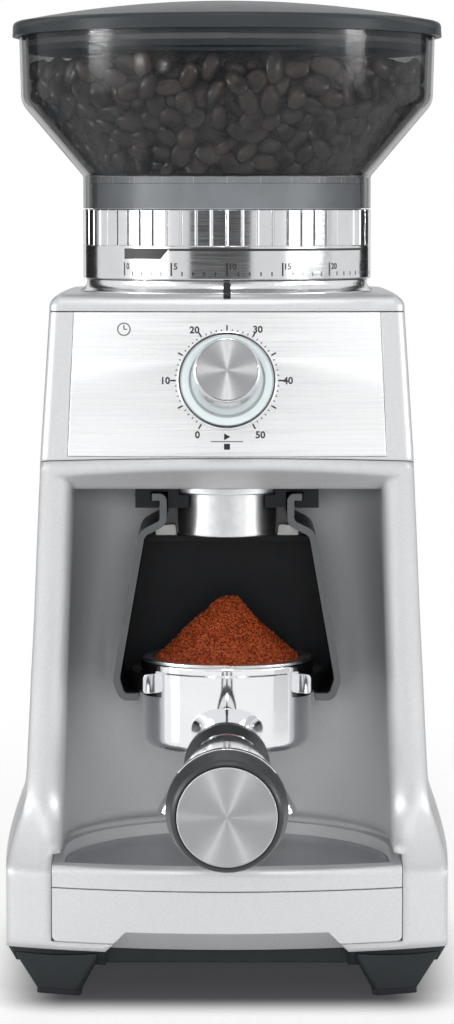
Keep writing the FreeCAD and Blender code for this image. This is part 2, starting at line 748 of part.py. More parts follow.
def foot_outline(low, z):
    """Plan of the right front foot: its front follows the base, and it narrows downwards."""
    inner = between(FOOT_INNER, FOOT_INNER_LOW, low)
    outer = between(FOOT_OUTER, FOOT_OUTER_LOW, low)
    back = BASE_FRONT + FOOT_DEPTH - low * FOOT_CORNER * 4

    def ahead(x):
        return BASE_FRONT + BASE_BOW - math.sqrt(BASE_BOW ** 2 - x ** 2) + FOOT_INSET

    return rounded([(inner, ahead(inner), FOOT_CORNER), (outer, ahead(outer) + FOOT_INSET, FOOT_CORNER),
                    (outer, back, FOOT_CORNER), (inner, back, FOOT_CORNER)], plan(z))


def rear_foot_outline(low, z):
    inner = between(FOOT_INNER, FOOT_INNER_LOW, low)
    outer = between(FOOT_OUTER, FOOT_OUTER_LOW, low)
    front_y = BASE_BACK - FOOT_DEPTH + low * FOOT_CORNER * 4
    back = BASE_BACK - 5.0
    return rounded([(inner, front_y, FOOT_CORNER), (outer, front_y, FOOT_CORNER),
                    (outer, back - 11, FOOT_CORNER), (outer - 11, back, FOOT_CORNER),
                    (inner, back, FOOT_CORNER)], plan(z))


def foot_legs():
    top = BASE_BOTTOM - SEAM
    legs = [Part.makeLoft([outline(1, PAD), outline(0, top)], True, True)
            for outline in (foot_outline, rear_foot_outline)]
    return legs + [mirrored(leg) for leg in legs]


def feet():
    """Four tapered feet and the rubber pads under them."""
    pads = [extrude(outline(1, 0), vec(0, 0, PAD)) for outline in (foot_outline, rear_foot_outline)]
    pads += [mirrored(pad) for pad in pads]
    return {"corner_feet": Part.makeCompound(foot_legs()), "foot_pads": Part.makeCompound(pads)}


def housing_screws():
    """Slotted screws under the base plate."""
    half_slot = SCREW_SLOT / 2
    screw = revolve([(0, -SCREW_HEAD), (SCREW_HEAD_R, -SCREW_HEAD, 0.8), (SCREW_HEAD_R, 0), (SCREW_R, 0),
                     (SCREW_R, SCREW_LENGTH), (0, SCREW_LENGTH)])
    screw = screw.cut(block(-half_slot, half_slot, -FAR, FAR, -FAR, SCREW_SLOT - SCREW_HEAD))
    solids = []
    for x, y in SCREW_PLACES:
        placed = screw.copy()
        placed.translate(vec(x, y, PLATE_BOTTOM))
        solids.append(placed)
    return Part.makeCompound(solids)


def cord_gland():
    root = GLAND_R - GLAND_STEP
    end = BASE_BACK + GLAND_LENGTH
    inside = BASE_BACK - GLAND_ROOT
    return revolve_along_y([(GLAND_BORE, inside), (root, inside), (root, BASE_BACK), (GLAND_R, BASE_BACK),
                            (GLAND_R, end, 1.5), (GLAND_BORE, end, 1.0)], GLAND_Z)


# Hopper and lid

def hopper():
    """Clear bowl on a straight neck, and the funnel in it that leads to the burrs."""
    shoulder = HOPPER_R - HOPPER_DRAFT
    inner = HOPPER_R - HOPPER_WALL
    neck = HOPPER_NECK_R - HOPPER_WALL
    seat = COLLAR_TOP + GAP
    bowl = revolve([(HOPPER_NECK_R, seat), (HOPPER_NECK_R, NECK_TOP, 2), (shoulder, SHOULDER, 9),
                    (HOPPER_R, HOPPER_TOP, 1), (inner, HOPPER_TOP, 1),
                    (inner - HOPPER_DRAFT, SHOULDER + 1.1, 7), (neck, NECK_TOP + 1.2, 2), (neck, seat)])
    edge = neck - SNUG
    floor = NECK_TOP - 0.6
    under = floor - HOPPER_WALL
    throat = NECK_TOP - 7.4
    tube = THROAT_R + HOPPER_WALL
    skirt = COLLAR_BORE - GAP
    skirt_inner = skirt - HOPPER_WALL
    funnel = revolve([(edge, under), (edge, floor), (THROAT_R, throat, 4), (THROAT_R, THROAT_BOTTOM),
                      (tube, THROAT_BOTTOM), (tube, throat - 2.0), (skirt_inner, under),
                      (skirt_inner, SKIRT_BOTTOM), (skirt, SKIRT_BOTTOM), (skirt, under)])
    return {"hopper": bowl, "hopper_funnel": funnel}


def lid():
    plug = HOPPER_R - HOPPER_WALL - 1.1
    plug_inner = plug - LID_SHEET
    seat = HOPPER_TOP + GAP
    skirt = HOPPER_TOP - LID_SKIRT
    skirt_inner = HOPPER_R + GAP
    plug_bottom = HOPPER_TOP - PLUG_DEPTH
    edge = LID_R - 2.2
    dome_r = (edge ** 2 + LID_SAG ** 2) / (2 * LID_SAG)

    def dome(r, drop):
        return HEIGHT - drop - dome_r + math.sqrt(dome_r ** 2 - r ** 2)

    rim = dome(edge, 0)
    outline = chain(lambda r, z: vec(r, 0, z), (0, HEIGHT), ((edge / 2, dome(edge / 2, 0)), (edge, rim)),
                    ((LID_R - 0.75, rim - 0.65), (LID_R - 0.2, rim - 2)), (LID_R, skirt),
                    (skirt_inner, skirt), (skirt_inner, seat), (plug, seat), (plug, plug_bottom),
                    (plug_inner, plug_bottom), (plug_inner, dome(plug_inner, LID_SHEET)),
                    ((plug / 2, dome(plug / 2, LID_SHEET)), (0, HEIGHT - LID_SHEET)), (0, HEIGHT))
    shell = Part.Face(outline).revolve(vec(0, 0, 0), UP, 360)
    groove = plug - SEAL_DEPTH
    low = plug_bottom + 2.2
    high = low + 2.6
    proud = plug + SEAL_PROUD
    seal = revolve([(groove, low), (proud, low, 0.6), (proud, high, 0.6), (groove, high)])
    return {"hopper_lid": shell.cut(ring(plug + THROUGH, groove, low, high)), "lid_seal": seal}


# Grind setting

def grind_collar():
    """Metal ring with a grooved upper band over a smooth band."""
    bottom = BOSS_TOP + GAP
    smooth = revolve([(COLLAR_BORE, bottom), (COLLAR_R, bottom, 0.6), (COLLAR_R, COLLAR_BAND, 0.4),
                      (COLLAR_BORE, COLLAR_BAND)])
    half_groove = GROOVE_HALF / COLLAR_R
    pitch = 2 * math.pi / GROOVES

    def polar(radius, angle):
        return (radius * math.sin(angle), -radius * math.cos(angle))

    moves = []
    for i in range(GROOVES):
        valley = (i + 1) * pitch
        moves.append((polar(COLLAR_R, valley - pitch / 2), polar(COLLAR_R, valley - half_groove)))
        moves.append(polar(COLLAR_R - GROOVE_DEPTH, valley))
        moves.append(polar(COLLAR_R, valley + half_groove))
    outline = chain(plan(COLLAR_BAND), polar(COLLAR_R, half_groove), *moves)
    band = extrude(outline, vec(0, 0, GROOVED_RISE))
    wide = COLLAR_R + THROUGH
    crown = revolve([(0, COLLAR_BAND), (wide, COLLAR_BAND), (wide, COLLAR_TOP - COLLAR_EDGE),
                     (COLLAR_R - COLLAR_EDGE, COLLAR_TOP), (0, COLLAR_TOP)])
    return smooth.fuse(band.common(crown).cut(hole(COLLAR_BORE)))


def upper_burr():
    """Threaded hub in the collar, burr carrier and ring burr."""
    bore = CARRIER_R + RUN
    hub = revolve([(bore, HUB_BOTTOM), (COLLAR_BORE - SNUG, HUB_BOTTOM), (COLLAR_BORE - SNUG, HUB_RIM),
                   (CARRIER_R + 6, HUB_RIM, 2), (bore, HUB_TOP)])
    top = BURR_FLOOR + RING_BURR
    seat = RING_BURR_R + SNUG
    inner = THROAT_R + 2
    carrier = revolve([(seat, BURR_FLOOR), (CARRIER_R, BURR_FLOOR), (CARRIER_R, HUB_TOP), (inner, HUB_TOP),
                       (inner, top), (seat, top)])
    cone = CONE_R + BURR_GAP
    burr = revolve([(cone, BURR_FLOOR), (RING_BURR_R, BURR_FLOOR), (RING_BURR_R, top), (cone + 4, top),
                    (cone - 0.6, BURR_FLOOR + BURR_MOUTH)])
    groove = block(-0.5, 0.5, cone - 3, cone + 1.6, BURR_FLOOR - THROUGH, top + THROUGH)
    groove.rotate(vec(0, cone, BURR_FLOOR), vec(0, 1, 0), 12)
    for cutter in turned(groove, RING_TEETH):
        burr = burr.cut(cutter)
    return {"collar_hub": hub, "burr_carrier": carrier, "ring_burr": burr}


# Burr drive

def burr_chamber():
    inner = CHAMBER_R - CHAMBER_WALL
    neck = BEARING_R + SNUG
    neck_outer = neck + CHAMBER_WALL
    flange = COVER_TOP - WALL
    flange_bottom = flange - CHAMBER_WALL
    flange_r = CHAMBER_R + CHAMBER_FLANGE
    bore = SHAFT_R + 1.2
    cup = revolve([(neck, CASE_LID), (neck_outer, CASE_LID), (neck_outer, CHAMBER_FLOOR, 2),
                   (CHAMBER_R, CHAMBER_FLOOR, 3), (CHAMBER_R, flange_bottom), (flange_r, flange_bottom),
                   (flange_r, flange), (inner, flange), (inner, CHAMBER_INSIDE, 2), (bore, CHAMBER_INSIDE),
                   (bore, BEARING_SEAT), (neck, BEARING_SEAT)])
    sill = CHAMBER_INSIDE + 1.5
    return cup.cut(block(-DUCT_WINDOW, DUCT_WINDOW, -FAR, -BEARING_R, sill, sill + 11.5))


def shaft_bearings():
    upper = ring(BEARING_R, SHAFT_R + RUN, BEARING_SEAT - 7.4, BEARING_SEAT - SEAM)
    lower = ring(LOWER_BEARING_R, SPIGOT_R + RUN, CASE_INSIDE, CASE_INSIDE + LOWER_BEARING)
    return Part.makeCompound([upper, lower])


def burr_drive():
    bore = hole(SHAFT_R + SNUG)
    shaft_bottom = CASE_INSIDE + SLIDE
    step = HIGH_GEAR - 3.0
    cone_top = BURR_FLOOR + CONE_BURR
    shaft_top = cone_top + NUT_HEIGHT + 1.0
    shaft = revolve([(0, shaft_bottom), (SPIGOT_R, shaft_bottom), (SPIGOT_R, step), (SHAFT_R, step),
                     (SHAFT_R, shaft_top, 0.6), (0, shaft_top)])
    cone_bottom = BURR_FLOOR - 2
    mouth = BURR_FLOOR + BURR_MOUTH
    cone = revolve([(0, cone_bottom), (CONE_R - 1, cone_bottom), (CONE_R, BURR_FLOOR), (CONE_R - 1.6, mouth),
                    (CONE_TOP_R, cone_top), (0, cone_top)]).cut(bore)
    groove = block(-0.9, 0.9, CONE_TOP_R - 1.4, CONE_R + 4, mouth, cone_top + BURR_MOUTH)
    groove.rotate(vec(0, CONE_R - 2.2, mouth), vec(1, 0, 0), 30)
    groove.rotate(vec(0, CONE_R, mouth), vec(0, 1, 0), 18)
    for cutter in turned(groove, CONE_TEETH):
        cone = cone.cut(cutter)
    deck = IMPELLER + IMPELLER_DISC
    disc = cylinder(IMPELLER_R, IMPELLER, deck)
    sleeve = cylinder(SHAFT_R + 4, deck, cone_bottom)
    paddle = block(-1.2, 1.2, SHAFT_R, IMPELLER_R, deck, deck + PADDLE_HEIGHT)
    impeller = disc.fuse([sleeve] + turned(paddle, PADDLES)).cut(bore)
    impeller = impeller.common(cylinder(IMPELLER_R, IMPELLER, cone_bottom))
    corners = [i * math.pi / 3 for i in range(6)]
    hexagon = rounded([(NUT_R * math.cos(a), NUT_R * math.sin(a)) for a in corners], plan(cone_top))
    nut = extrude(hexagon, vec(0, 0, NUT_HEIGHT)).cut(bore)
    gear = spur_gear(BURR_TEETH, HIGH_GEAR, HIGH_GEAR_TOP).cut(bore)
    return {"burr_shaft": shaft, "cone_burr": cone, "impeller": impeller, "burr_nut": nut, "burr_gear": gear}


def spur_gear(teeth, bottom, top, y=0.0, turn=0.0):
    """Involute gear drawn as flat-sided teeth, with a stub addendum and backlash."""
    pitch_r = MODULE * teeth / 2
    base_r = pitch_r * math.cos(PRESSURE)
    root = pitch_r - DEDENDUM * MODULE
    tip = pitch_r + ADDENDUM * MODULE

    def involute(radius):
        angle = math.acos(min(1.0, base_r / radius))
        return math.tan(angle) - angle

    half_pitch = math.pi / (2 * teeth) - BACKLASH / (2 * pitch_r) + involute(pitch_r)
    start = max(base_r, root)
    flank = [between(start, tip, i / FLANK_STEPS) for i in range(FLANK_STEPS + 1)]
    rising = [(r, -(half_pitch - involute(r))) for r in flank]
    tooth = [(root, rising[0][1])] * (root < start) + rising
    tooth += [(r, -angle) for r, angle in reversed(tooth)]
    points = []
    for i in range(teeth):
        middle = turn + 2 * math.pi * i / teeth
        points += [(r * math.sin(middle + a), y + r * math.cos(middle + a)) for r, a in tooth]
    return extrude(rounded(points, plan(bottom)), vec(0, 0, top - bottom))


def gear_train():
    """Compound idler, and the motor's pinion; each meshes tooth to gap at rest."""
    facing = math.pi
    small = spur_gear(SMALL_TEETH, LOW_GEAR_TOP, HIGH_GEAR_TOP + 1, IDLER_Y, facing + math.pi / SMALL_TEETH)
    wheel = spur_gear(WHEEL_TEETH, LOW_GEAR, LOW_GEAR_TOP, IDLER_Y)
    hub = cylinder(IDLER_HUB_R, LOW_GEAR - 1, HIGH_GEAR_TOP + 3, 0, IDLER_Y)
    idler = wheel.fuse([small, hub]).cut(hole(PIN_R + RUN, 0, IDLER_Y))
    pinion_turn = facing + math.pi / PINION_TEETH
    pinion = spur_gear(PINION_TEETH, LOW_GEAR - 0.5, LOW_GEAR_TOP + 1.5, MOTOR_Y, pinion_turn)
    pinion = pinion.cut(hole(MOTOR_SHAFT_R + SNUG, 0, MOTOR_Y))
    return {"idler_gear": idler, "motor_pinion": pinion}


def gearbox():
    clear = MODULE * BURR_TEETH / 2 + 1.6
    outer = clear + CASE_WALL
    far = MOTOR_Y + 10.0

    def hull(half, back, bottom, top):
        bend = half * 0.9
        outline = rounded([(-half, -half, bend), (half, -half, bend), (half, back, 8), (-half, back, 8)],
                          plan(bottom))
        return extrude(outline, vec(0, 0, top - bottom))

    case = hull(outer, far + CASE_WALL, CASE_FLOOR, CASE_TOP).cut(hull(clear, far, CASE_INSIDE, FAR))
    boss = ring(LOWER_BEARING_R + 1.7, LOWER_BEARING_R + SNUG, CASE_INSIDE, CASE_INSIDE + LOWER_BEARING)
    pin = cylinder(PIN_R, CASE_INSIDE, CASE_TOP, 0, IDLER_Y)
    case = case.fuse([boss, pin]).cut(cylinder(MOTOR_NOSE_R + SLIDE, 0, CASE_INSIDE + GAP, 0, MOTOR_Y))
    cover = hull(outer, far + CASE_WALL, CASE_TOP, CASE_LID).cut(hole(SHAFT_R + 2))
    return {"gearbox_case": case, "gearbox_cover": cover}


def motor():
    bore = hole(MOTOR_SHAFT_R + RUN, 0, MOTOR_Y)
    press = hole(MOTOR_SHAFT_R + SNUG, 0, MOTOR_Y)

    def disc(radius, bottom, top):
        return cylinder(radius, bottom, top, 0, MOTOR_Y)

    lid_plate = disc(MOTOR_R, CASE_FLOOR - 3, CASE_FLOOR)
    nose = disc(MOTOR_NOSE_R, CASE_FLOOR, CASE_FLOOR + 2)
    can = ring(MOTOR_R, MOTOR_R - MOTOR_SHEET, MOTOR_BOTTOM, CASE_FLOOR, 0, MOTOR_Y)
    can = can.fuse([lid_plate, nose]).cut(bore)
    half_brush = 4.0
    end = disc(MOTOR_R, MOTOR_BOTTOM - 4, MOTOR_BOTTOM).fuse(disc(8, MOTOR_BOTTOM, MOTOR_BOTTOM + 4)).cut(bore)
    brush = block(11, 11 + 2 * half_brush, MOTOR_Y - half_brush, MOTOR_Y + half_brush, MOTOR_BOTTOM,
                  MOTOR_BOTTOM + 7)
    end = end.fuse([brush, mirrored(brush)])
    shaft = disc(MOTOR_SHAFT_R, FAN_Z, LOW_GEAR_TOP + 1.5)
    core_bottom = MOTOR_BOTTOM + 14
    core = disc(ARMATURE_R, core_bottom, CASE_FLOOR - 10)
    slot = block(-1.4, 1.4, MOTOR_Y + ARMATURE_R - 5, MOTOR_Y + MOTOR_R, MOTOR_BOTTOM, CASE_FLOOR)
    for cutter in turned(slot, ARMATURE_SLOTS, MOTOR_Y):
        core = core.cut(cutter)
    core = core.fuse(disc(8, core_bottom - 6, core_bottom)).cut(press)
    fan_top = FAN_Z + FAN_HEIGHT
    fan = disc(FAN_HUB_R, FAN_Z, fan_top).fuse(disc(FAN_R, fan_top - 1.5, fan_top))
    blade = block(-0.8, 0.8, MOTOR_Y + FAN_HUB_R - 1, MOTOR_Y + FAN_R, FAN_Z, fan_top - 1)
    fan = fan.fuse(turned(blade, FAN_BLADES, MOTOR_Y)).cut(press)
    return {"motor_can": can, "motor_end_cap": end, "motor_shaft": shaft, "armature": core, "cooling_fan": fan}


# Outlet, cradle and start plunger

def outlet():
    inner = DUCT_R - DUCT_WALL
    seat = CHAMBER_FLOOR - GAP
    hood_top = CHAMBER_FLOOR + 18.0
    tube = cylinder(DUCT_R, CHUTE_BOTTOM + 4, seat, 0, OUTLET_Y)
    hood = block(-DUCT_R, DUCT_R, OUTLET_Y - DUCT_R, OUTLET_Y + DUCT_R, seat - DUCT_WALL, hood_top)
    hood = hood.cut(cylinder(CHAMBER_R + 0.1, seat, FAR))
    bore = cylinder(inner, 0, CHAMBER_FLOOR + THROUGH, 0, OUTLET_Y)
    room = block(-inner, inner, OUTLET_Y - inner, OUTLET_Y + inner, CHAMBER_FLOOR - THROUGH,
                 hood_top - DUCT_WALL)
    duct = tube.fuse(hood).cut(bore).cut(room)
    lip = CHUTE_R - CHUTE_LIP
    flange = CHUTE_R + CHUTE_FLANGE
    flange_bottom = RECESS_CEILING - CHUTE_FLANGE_SHEET
    seat_r = DUCT_R + SNUG
    collar = revolve([(lip, CHUTE_BOTTOM), (CHUTE_R, CHUTE_BOTTOM, 0.9), (CHUTE_R, flange_bottom),
                      (flange, flange_bottom, 0.6), (flange, RECESS_CEILING), (seat_r, RECESS_CEILING),
                      (seat_r, RECESS_CEILING - 3), (lip, RECESS_CEILING - 5)], 0, OUTLET_Y)
    return {"chute_duct": duct, "chute_ring": collar}


def cradle():
    """Forked holder hung from a rail under the ceiling of the recess."""
    half = CRADLE_SHEET / 2
    ledge = LEDGE_TOP - half
    line = rounded([(RAIL_X + HOOK_LENGTH, HOOK_Z), (RAIL_X, HOOK_Z, 1.6), (RAIL_X, BEND_Z, 3), (*HIP, 5),
                    (*KNEE, 7), (HEEL_X, ledge, 3), (CUP_R + 0.9, ledge)], front(0), False)

    def sheet(start, end):
        band = line.makeOffset2D(half, 0, False, True)
        other = line.makeOffset2D(-half, 0, False, True)
        ends = [Part.makeLine(band.OrderedVertexes[i].Point, other.OrderedVertexes[i].Point) for i in (0, -1)]
        wire = Part.Wire(Part.sortEdges(band.Edges + other.Edges + ends)[0])
        solid = extrude(wire, vec(0, end - start, 0))
        solid.translate(vec(0, start, 0))
        return solid

    joint = CRADLE_FRONT + CRADLE_TRIM
    right = sheet(joint, CRADLE_BACK)
    hip_x = HIP[0] - SLIDE
    knee_x = KNEE[0] - 0.9
    knee_z = KNEE[1] + BACK_SHEET
    foot = LEDGE_TOP - BACK_SHEET
    back = extrude(rounded([(-hip_x, WEB_Z), (hip_x, WEB_Z), (knee_x, knee_z), (HEEL_X, foot), (-HEEL_X, foot),
                            (-knee_x, knee_z)], front(CRADLE_BACK - BACK_SHEET)), vec(0, BACK_SHEET, 0))
    web = block(-hip_x, hip_x, OUTLET_Y + CHUTE_R + 1.5, CRADLE_BACK, WEB_Z - WEB, WEB_Z)
    shell = right.fuse([mirrored(right), back, web])
    trim = both(sheet(CRADLE_FRONT, joint))
    pad_outer = PAD_INNER + PAD_WIDTH
    pad = extrude(rounded([(PAD_INNER, WEB_Z), (pad_outer, WEB_Z, 0.5), (pad_outer - 0.5, WEB_Z + 3.6, 1.0),
                           (PAD_INNER + 0.6, WEB_Z + PAD_HEIGHT, 1.0)], front(PAD_Y)), vec(0, PAD_LENGTH, 0))
    return {"cradle_shell": shell, "cradle_trim": trim, "cradle_pads": both(pad)}


def cradle_rail():
    """Slotted block under the ceiling that the cradle's hooks slide in."""
    half = CRADLE_SHEET / 2 + SLIDE
    back = OUTLET_Y + math.sqrt((RECESS_HEAD - 5) ** 2 - RAIL_HALF ** 2)
    roof = RECESS_CEILING - RAIL_ROOF
    under = RAIL_BOTTOM - THROUGH
    slot_end = CRADLE_BACK + 3
    rail = block(-RAIL_HALF, RAIL_HALF, CRADLE_FRONT + 6, back, RAIL_BOTTOM, RECESS_CEILING)
    rail = rail.cut(hole(CHUTE_R + 2 * SLIDE, 0, OUTLET_Y))
    flange = CHUTE_R + CHUTE_FLANGE + 0.5
    rail = rail.cut(cylinder(flange, RECESS_CEILING - CHUTE_FLANGE_SHEET - 0.5, FAR, 0, OUTLET_Y))
    neck = block(RAIL_X - half, RAIL_X + half, -FAR, slot_end, under, roof)
    head = block(RAIL_X - half, RAIL_X + HOOK_LENGTH + 0.5, -FAR, slot_end, HOOK_Z - half, roof)
    for slot in (neck, head):
        rail = rail.cut(slot).cut(mirrored(slot))
    reach = RAIL_X + half + 1.6
    return rail.cut(block(-reach, reach, -FAR, OUTLET_Y - CHUTE_R + 4, under, roof))


def start_plunger():
    tip = OUTLET_Y + CUP_R + PLUNGER_REACH
    shoulder = tip + PLUNGER_HEAD
    plunger = rod(PLUNGER_HEAD_R, tip, shoulder, PLUNGER_Z).fuse(rod(PLUNGER_R, shoulder, SWITCH_Y, PLUNGER_Z))
    face = SWITCH_Y + SWITCH_TRAVEL
    rear = face + SWITCH_DEPTH
    top = PLUNGER_Z + SWITCH_RISE
    switch = block(-SWITCH_HALF, SWITCH_HALF, face, rear, PLUNGER_Z - SWITCH_RISE, top)
    bracket = block(-BRACKET_HALF, BRACKET_HALF, rear, rear + BRACKET, BASE_BOTTOM, top)
    button = rod(2, face - 0.6, face, PLUNGER_Z)
    return {"start_plunger": plunger, "start_switch": switch.fuse([bracket, button])}


# Portafilter

def portafilter():
    inner = CUP_R - CUP_WALL
    band = RIM_TOP - RIM_BAND
    cup = revolve([(CUP_BORE, CUP_BOTTOM), (CUP_R - 0.4, CUP_BOTTOM, 4.5), (CUP_R, band - 0.8, 0.4),
                   (RIM_R, band, 0.4), (RIM_R, RIM_TOP, 1.0), (inner, RIM_TOP, 0.5),
                   (inner, CUP_BOTTOM + 3, 3), (CUP_BORE, CUP_BOTTOM + 2.4)], 0, OUTLET_Y)
    ear_root = CUP_R - CUP_WALL / 2
    ear_bottom = LEDGE_TOP + SNUG
    ear_top = LEDGE_TOP + EAR_HEIGHT
    ear = revolve([(ear_root, ear_bottom), (EAR_R, ear_bottom, 1.6), (EAR_R, ear_top, 1.6),
                   (ear_root, ear_top)])
    slope = FAR * math.tan(math.radians(EAR_ANGLE))
    ear = ear.common(extrude(chain(plan(0), (0, 0), (FAR, -slope), (FAR, slope), (0, 0)), vec(0, 0, FAR)))
    ear.translate(vec(0, OUTLET_Y, 0))

    def neck_section(y, rise, half_width, half_height):
        ellipse = Part.Ellipse(vec(0, y, HANDLE_Z + rise), half_width, half_height)
        ellipse.Axis = vec(0, 1, 0)
        return Part.Wire(ellipse.toShape())

    root = OUTLET_Y - CUP_R
    neck = Part.makeLoft([neck_section(root + 2, 7.0, 14.0, 8.5), neck_section(root - 8, 5.5, 10.5, 7.5),
                          neck_section(HANDLE_ROOT + 14, 2.0, 10.2, 8.6),
                          neck_section(HANDLE_ROOT, 0.0, 14.6, 14.2)], True, False)
    bore = cylinder(inner, CUP_BOTTOM + 5, FAR, 0, OUTLET_Y)
    body = cup.fuse([ear, mirrored(ear), neck]).cut(bore)

    lip = RIM_R - 1.0
    lip_top = RIM_TOP + BASKET_LIP
    foot = BASKET_R - 1
    floor_top = BASKET_FLOOR + BASKET_SHEET
    basket = revolve([(0, BASKET_FLOOR), (foot, BASKET_FLOOR, 2), (BASKET_R + BASKET_SHEET, RIM_TOP, 0.3),
                      (lip, RIM_TOP), (lip, lip_top, 0.5), (BASKET_R, lip_top, 0.8),
                      (foot - BASKET_SHEET, floor_top, 1.5), (0, floor_top)], 0, OUTLET_Y)
    for circle in range(1, HOLE_CIRCLES + 1):
        cutter = cylinder(HOLE_R, BASKET_FLOOR - THROUGH, floor_top + THROUGH, circle * HOLE_PITCH, OUTLET_Y)
        for copy in turned(cutter, circle * 6, OUTLET_Y):
            basket = basket.cut(copy)
    return {"portafilter_body": body, "filter_basket": basket, "twin_spout": twin_spout(), **handle()}


def twin_spout():
    """Arched pipe with a tip to each side, under the middle of the cup."""
    centre = vec(0, OUTLET_Y, SPOUT_Z - SPOUT_BEND)

    def arch(radius, spread):
        start = centre + vec(SPOUT_BEND * math.sin(spread), 0, SPOUT_BEND * math.cos(spread))
        along = vec(math.cos(spread), 0, -math.sin(spread))
        circle = Part.Face(Part.Wire(Part.makeCircle(radius, start, along)))
        return circle.revolve(centre, vec(0, 1, 0), -2 * math.degrees(spread))

    spread = math.radians(SPOUT_SPREAD)
    collar = cylinder(SPOUT_COLLAR_R, SPOUT_Z, CUP_BOTTOM, 0, OUTLET_Y)
    pipe = collar.fuse(arch(SPOUT_R, spread)).cut(arch(SPOUT_R - SPOUT_WALL, spread + RUN))
    return pipe.cut(cylinder(CUP_BORE, SPOUT_Z, CUP_BOTTOM + THROUGH, 0, OUTLET_Y))


def handle():
    """Dark grip with a bright inlay along its top and a metal disc in its end."""
    waist = HANDLE_ROOT - 16
    swell = HANDLE_END + 15
    grip_end = HANDLE_END + CAP_PROUD
    outline = [(0, HANDLE_ROOT), (ROOT_R - 1, HANDLE_ROOT), (ROOT_R, HANDLE_ROOT - 1.6, 1.2),
               (ROOT_R, HANDLE_ROOT - 7.5, 1.2), (WAIST_R, waist, 10), (GRIP_R, swell, 26),
               (GRIP_END_R, grip_end, 3.0), (0, grip_end)]

    def grown(amount):
        return revolve_along_y([(r if r == 0 else r + amount, y, *bend) for r, y, *bend in outline], HANDLE_Z)

    slope = FAR / math.tan(math.radians(INLAY_ANGLE))
    wedge = extrude(chain(front(swell - 1), (0, HANDLE_Z), (FAR, HANDLE_Z + slope), (-FAR, HANDLE_Z + slope),
                          (0, HANDLE_Z)), vec(0, waist - swell + 2, 0))
    inlay = grown(INLAY_PROUD).cut(grown(-INLAY_DEPTH)).common(wedge)
    cap_back = HANDLE_END + CAP_DEPTH
    cap = revolve_along_y([(0, HANDLE_END), (CAP_R, HANDLE_END, 0.5), (CAP_R, cap_back), (0, cap_back)],
                          HANDLE_Z)
    grip = grown(0).cut(inlay).cut(rod(CAP_R + GAP, HANDLE_END - THROUGH, cap_back, HANDLE_Z))
    return {"handle_grip": grip, "handle_inlay": inlay, "handle_end_cap": cap}


# Drip tray

def behind_front(depth, bottom=-FAR, top=FAR):
    """Everything that lies a depth behind the base's bowed front."""
    return cylinder(BASE_BOW - depth, bottom, top, 0, BASE_FRONT + BASE_BOW)


def finger_pull():
    """Bevelled space under the tray's front plate, deeper towards the bottom."""
    def outline(z):
        fall = BASE_BOTTOM + FINGER_RISE - z
        half = FINGER_FOOT - FINGER_RISE + fall
        reach = BASE_BOW - FINGER_DEPTH * fall / FINGER_RISE
        middle = BASE_FRONT + BASE_BOW
        ahead = BASE_FRONT - THROUGH
        side_y = middle - math.sqrt(reach ** 2 - half ** 2)
        return chain(plan(z), (-half, ahead), (half, ahead), (half, side_y),
                     ((0, middle - reach), (-half, side_y)), (-half, ahead))

    return Part.makeLoft([outline(BASE_BOTTOM), outline(BASE_BOTTOM + FINGER_RISE)], True, True)


def drip_tray():
    def slab(inset, bottom, top):
        return extrude(u_outline(TRAY_HALF - inset, bottom), vec(0, 0, top - bottom))

    ledge = TRAY_SEAM + SEAM
    reach = behind_front(FRONT_PLATE + RUN, top=ledge).fuse(behind_front(0, bottom=ledge))
    frame = slab(0, TRAY_BOTTOM, TRAY_TOP).common(reach)
    lip = [e for e in frame.Edges if e.BoundBox.ZMin > TRAY_TOP - RUN and e.BoundBox.YMax < OUTLET_Y
           and e.BoundBox.XLength > TRAY_HALF]
    frame = frame.makeFillet(3.0, lip)
    sheet_bottom = SHEET_TOP - SHEET
    frame = frame.cut(slab(TRAY_RIM, sheet_bottom, FAR).common(behind_front(TRAY_BAR)))
    tub = slab(TRAY_RIM + SHEET_LEDGE, TRAY_BOTTOM + TRAY_FLOOR, SHEET_TOP)
    frame = frame.cut(tub.common(behind_front(TRAY_BAR + SHEET_LEDGE)))
    sheet = slab(TRAY_RIM + GAP, sheet_bottom, SHEET_TOP).common(behind_front(TRAY_BAR + GAP))

    bottom = BASE_BOTTOM + GAP
    plate = behind_front(0, bottom, TRAY_SEAM).cut(behind_front(FRONT_PLATE))
    panel = rounded([(-TRAY_HALF, TRAY_BOTTOM, PLATE_CORNER), (TRAY_HALF, TRAY_BOTTOM, PLATE_CORNER),
                     (TRAY_HALF, TRAY_SEAM), (-TRAY_HALF, TRAY_SEAM)], front(-FAR))
    tongue = finger_outline(GAP, TRAY_BOTTOM)
    plate = plate.common(extrude(panel, vec(0, FAR, 0)).fuse(extrude(tongue, vec(0, FAR, 0))))
    plate = plate.cut(finger_pull())
    return {"tray_frame": frame, "tray_sheet": sheet, "tray_front": plate}


# Timer dial and boards

